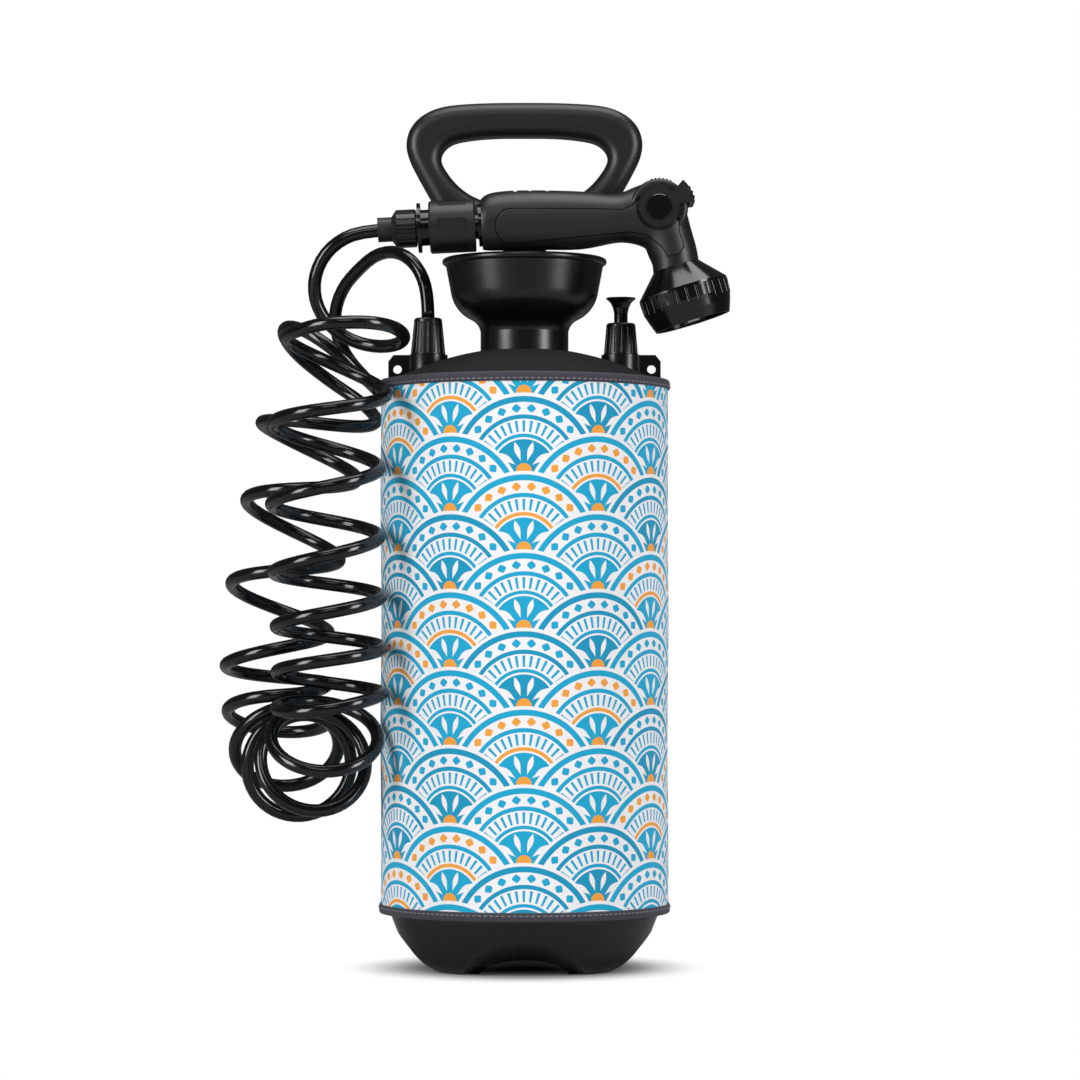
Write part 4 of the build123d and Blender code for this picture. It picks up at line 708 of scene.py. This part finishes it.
owner = fan_of_row(2)
for step in (1, 0):
    nearer = fan_of_row(step)
    covers = calc(fans, "LESS_THAN", nearer[0], 1.0)
    owner = tuple(chosen(covers, far, near) for far, near in zip(owner, nearer))
distance, angle, kind = owner
print(len(fans.nodes), "nodes find the fan that owns a point")

# %% Bands and motifs inside a fan
WHITE = (0.94, 0.93, 0.95, 1.0)
TURQUOISE = (0.007, 0.41, 0.68, 1.0)
DEEP_TURQUOISE = (0.005, 0.33, 0.56, 1.0)
ORANGE = (0.96, 0.39, 0.05, 1.0)


def between(low, high):
    """1 where the distance from the fan's centre lies in that band."""
    past_low = calc(fans, "GREATER_THAN", distance, low)
    return calc(fans, "MULTIPLY", past_low, calc(fans, "LESS_THAN", distance, high))


def ray_wave(count):
    """0 on so many rays round the centre and 1 half way between them."""
    half_turns = calc(fans, "MULTIPLY", angle, count / 2)
    return calc(fans, "ABSOLUTE", calc(fans, "SINE", half_turns))


def repeats(count, wide):
    """1 on so many rays round the centre, each as wide as the share given."""
    return calc(fans, "LESS_THAN", ray_wave(count), wide)


def petals(count, low, high, fullness):
    """Pointed petals that stand between two distances."""
    place = calc(fans, "DIVIDE", calc(fans, "SUBTRACT", distance, low), high - low)
    arch = calc(fans, "SINE", calc(fans, "MULTIPLY", place, math.pi))
    swell = calc(fans, "MULTIPLY", arch, fullness)
    inside = calc(fans, "LESS_THAN", ray_wave(count), swell)
    return calc(fans, "MULTIPLY", between(low, high), inside)


first_kind = calc(fans, "LESS_THAN", kind, 0.5)
third_kind = calc(fans, "GREATER_THAN", kind, 1.5)
ring_paint = blended(fans, first_kind, TURQUOISE, DEEP_TURQUOISE)
petal_paint = blended(fans, third_kind, TURQUOISE, ORANGE)
paint = blended(fans, between(0.88, 0.955), WHITE, ring_paint)
paint = blended(fans, petals(26, 0.745, 0.86, 0.8), paint, petal_paint)
paint = blended(fans, between(0.665, 0.72), paint, ring_paint)
striped = calc(fans, "MULTIPLY", between(0.5, 0.645), repeats(40, 0.55))
paint = blended(fans, striped, paint, TURQUOISE)
paint = blended(fans, between(0.43, 0.475), paint, petal_paint)
paint = blended(fans, calc(fans, "LESS_THAN", distance, 0.405), paint, ring_paint)
paint = blended(fans, petals(10, 0.13, 0.385, 0.62), paint, WHITE)
paint = blended(fans, calc(fans, "LESS_THAN", distance, 0.1), paint, ORANGE)
value_of(fans, fans_out.inputs["Colour"], paint)
print("group", fans.name, len(fans.nodes), "nodes")

# %% Cloth materials
FANS_ROUND = 12


def cloth(name, colour, pitch, lift, printed=False, sheen=0.15):
    """Principled shader: print or plain colour with painted shade between the threads, raised by
    them.
    """
    finish = bpy.data.materials.new(name)
    finish.use_nodes = True
    tree = finish.node_tree
    shader = tree.nodes["Principled BSDF"]
    flat = tree.nodes.new("ShaderNodeUVMap")
    flat.uv_map = "cloth"
    parts = tree.nodes.new("ShaderNodeSeparateXYZ")
    tree.links.new(flat.outputs["UV"], parts.inputs[0])
    weave = tree.nodes.new("ShaderNodeGroup")
    weave.node_tree = threads
    value_of(tree, weave.inputs["U"], parts.outputs["X"])
    value_of(tree, weave.inputs["V"], parts.outputs["Y"])
    weave.inputs["Pitch"].default_value = pitch
    paint = tuple(colour) + (1.0,)
    if printed:
        pattern = tree.nodes.new("ShaderNodeGroup")
        pattern.node_tree = fans
        value_of(tree, pattern.inputs["U"], parts.outputs["X"])
        value_of(tree, pattern.inputs["V"], parts.outputs["Y"])
        pattern.inputs["Fan Radius"].default_value = 2 * math.pi * COVER_RADIUS / FANS_ROUND
        paint = pattern.outputs["Colour"]
    # Painted shade: the print or plain colour is multiplied by the threads' painted gap shade.
    shaded = tree.nodes.new("ShaderNodeMix")
    shaded.data_type = "RGBA"
    shaded.blend_type = "MULTIPLY"
    shaded.inputs["Factor"].default_value = 1.0
    value_of(tree, shaded.inputs[6], paint)
    value_of(tree, shaded.inputs[7], weave.outputs["Shade"])
    tree.links.new(shaded.outputs[2], shader.inputs["Base Color"])
    bump = tree.nodes.new("ShaderNodeBump")
    bump.inputs["Distance"].default_value = lift
    tree.links.new(weave.outputs["Height"], bump.inputs["Height"])
    tree.links.new(bump.outputs["Normal"], shader.inputs["Normal"])
    shader.inputs["Roughness"].default_value = 0.82
    shader.inputs["Sheen Weight"].default_value = sheen
    shader.inputs["Specular IOR Level"].default_value = 0.25
    return finish


cover.data.materials.append(cloth("printed_cloth", (1, 1, 1), 0.0007, 0.00006, printed=True))
panel.data.materials.clear()
black_cloth = cloth("black_cloth", (0.005, 0.005, 0.006), 0.0006, 0.00005, sheen=0.02)
panel.data.materials.append(black_cloth)
binding_cloth = cloth("binding_cloth", (0.052, 0.048, 0.062), 0.0005, 0.00005)
thread = moulded("stitch_thread", (0.16, 0.155, 0.18), 0.7, grain=0.0003)
for piece in (lower_binding, upper_binding):
    piece.data.materials.append(binding_cloth)
for piece in (lower_stitches, upper_stitches):
    piece.data.materials.append(thread)
made = [finish.name for finish in bpy.data.materials if "cloth" in finish.name]
print("cloth materials", made)

# %% [markdown]
# ## Studio light and floor
# The object stands in a white studio: large soft lamps to the left, the right and above
# draw long pale streaks on the black plastic and leave the front even. The background is
# white only where the camera sees it, also through clear pieces, and lights the object
# weakly. The floor is grey, so little light comes up from it, and past the bottle's edge it
# glows white to the camera alone. So it ends in the background with no line.

# %% World and lamps
bpy.context.scene.view_settings.view_transform = "Standard"
world = bpy.data.worlds.new("studio_world")
bpy.context.scene.world = world
world.use_nodes = True
sky = world.node_tree
backdrop = sky.nodes["Background"]
rays = sky.nodes.new("ShaderNodeLightPath")
seen = calc(sky, "MAXIMUM", rays.outputs["Is Camera Ray"], rays.outputs["Is Transmission Ray"])
backdrop.inputs["Color"].default_value = (1.0, 1.0, 1.0, 1.0)
FILL = 0.07
sky.links.new(calc(sky, "MULTIPLY_ADD", seen, 1 - FILL, FILL), backdrop.inputs["Strength"])


MIDDLE = (0, 0, 0.3)


def softbox(name, place, size, power):
    """An area lamp of that width and height, turned from its place towards the middle."""
    lamp = bpy.data.lights.new(name, "AREA")
    lamp.shape = "RECTANGLE"
    lamp.size, lamp.size_y = size
    lamp.energy = power
    holder = bpy.data.objects.new(name, lamp)
    bpy.context.scene.collection.objects.link(holder)
    holder.location = place
    way = Vector(MIDDLE) - holder.location
    holder.rotation_euler = way.to_track_quat("-Z", "Y").to_euler()


softbox("lamp_left", (-2.2, -1.7, 1.0), (1.0, 2.0), 62.0)
softbox("lamp_right", (2.2, -1.6, 0.9), (0.8, 2.0), 52.0)
softbox("lamp_above", (0.1, -0.2, 2.2), (1.8, 1.2), 26.0)
softbox("lamp_front", (-0.2, -3.0, 2.4), (1.4, 0.8), 10.0)

# %% The floor
FLOOR_HALF = 6
FLOOR_SHOWN_TO = 0.06
FLOOR_WHITE_FROM = 0.13
floor_mesh = bpy.data.meshes.new("studio_floor")
floor_corners = [(-1, -1), (1, -1), (1, 1), (-1, 1)]
floor_mesh.from_pydata(
    [(FLOOR_HALF * x, FLOOR_HALF * y, 0) for x, y in floor_corners], [], [(0, 1, 2, 3)],
)
studio_floor = bpy.data.objects.new("studio_floor", floor_mesh)
bpy.context.scene.collection.objects.link(studio_floor)
floor_paint = bpy.data.materials.new("floor_paint")
floor_paint.use_nodes = True
floor_tree = floor_paint.node_tree
floor_shader = floor_tree.nodes["Principled BSDF"]
floor_shader.inputs["Base Color"].default_value = (0.4, 0.4, 0.4, 1)
floor_shader.inputs["Roughness"].default_value = 0.9
floor_place = floor_tree.nodes.new("ShaderNodeTexCoord")
floor_reach = floor_tree.nodes.new("ShaderNodeVectorMath")
floor_reach.operation = "LENGTH"
floor_tree.links.new(floor_place.outputs["Object"], floor_reach.inputs[0])
fade = floor_tree.nodes.new("ShaderNodeMapRange")
fade.interpolation_type = "SMOOTHSTEP"
fade.inputs["From Min"].default_value = FLOOR_SHOWN_TO
fade.inputs["From Max"].default_value = FLOOR_WHITE_FROM
floor_tree.links.new(floor_reach.outputs["Value"], fade.inputs["Value"])
glow = floor_tree.nodes.new("ShaderNodeEmission")
fading = floor_tree.nodes.new("ShaderNodeMixShader")
floor_rays = floor_tree.nodes.new("ShaderNodeLightPath")
shown_glow = calc(
    floor_tree, "MULTIPLY", fade.outputs["Result"], floor_rays.outputs["Is Camera Ray"],
)
floor_tree.links.new(shown_glow, fading.inputs[0])
floor_tree.links.new(floor_shader.outputs[0], fading.inputs[1])
floor_tree.links.new(glow.outputs[0], fading.inputs[2])
floor_tree.links.new(fading.outputs[0], floor_tree.nodes["Material Output"].inputs["Surface"])
floor_mesh.materials.append(floor_paint)
print("floor", 2 * FLOOR_HALF, "m wide, white to the camera from", FLOOR_WHITE_FROM, "m on")
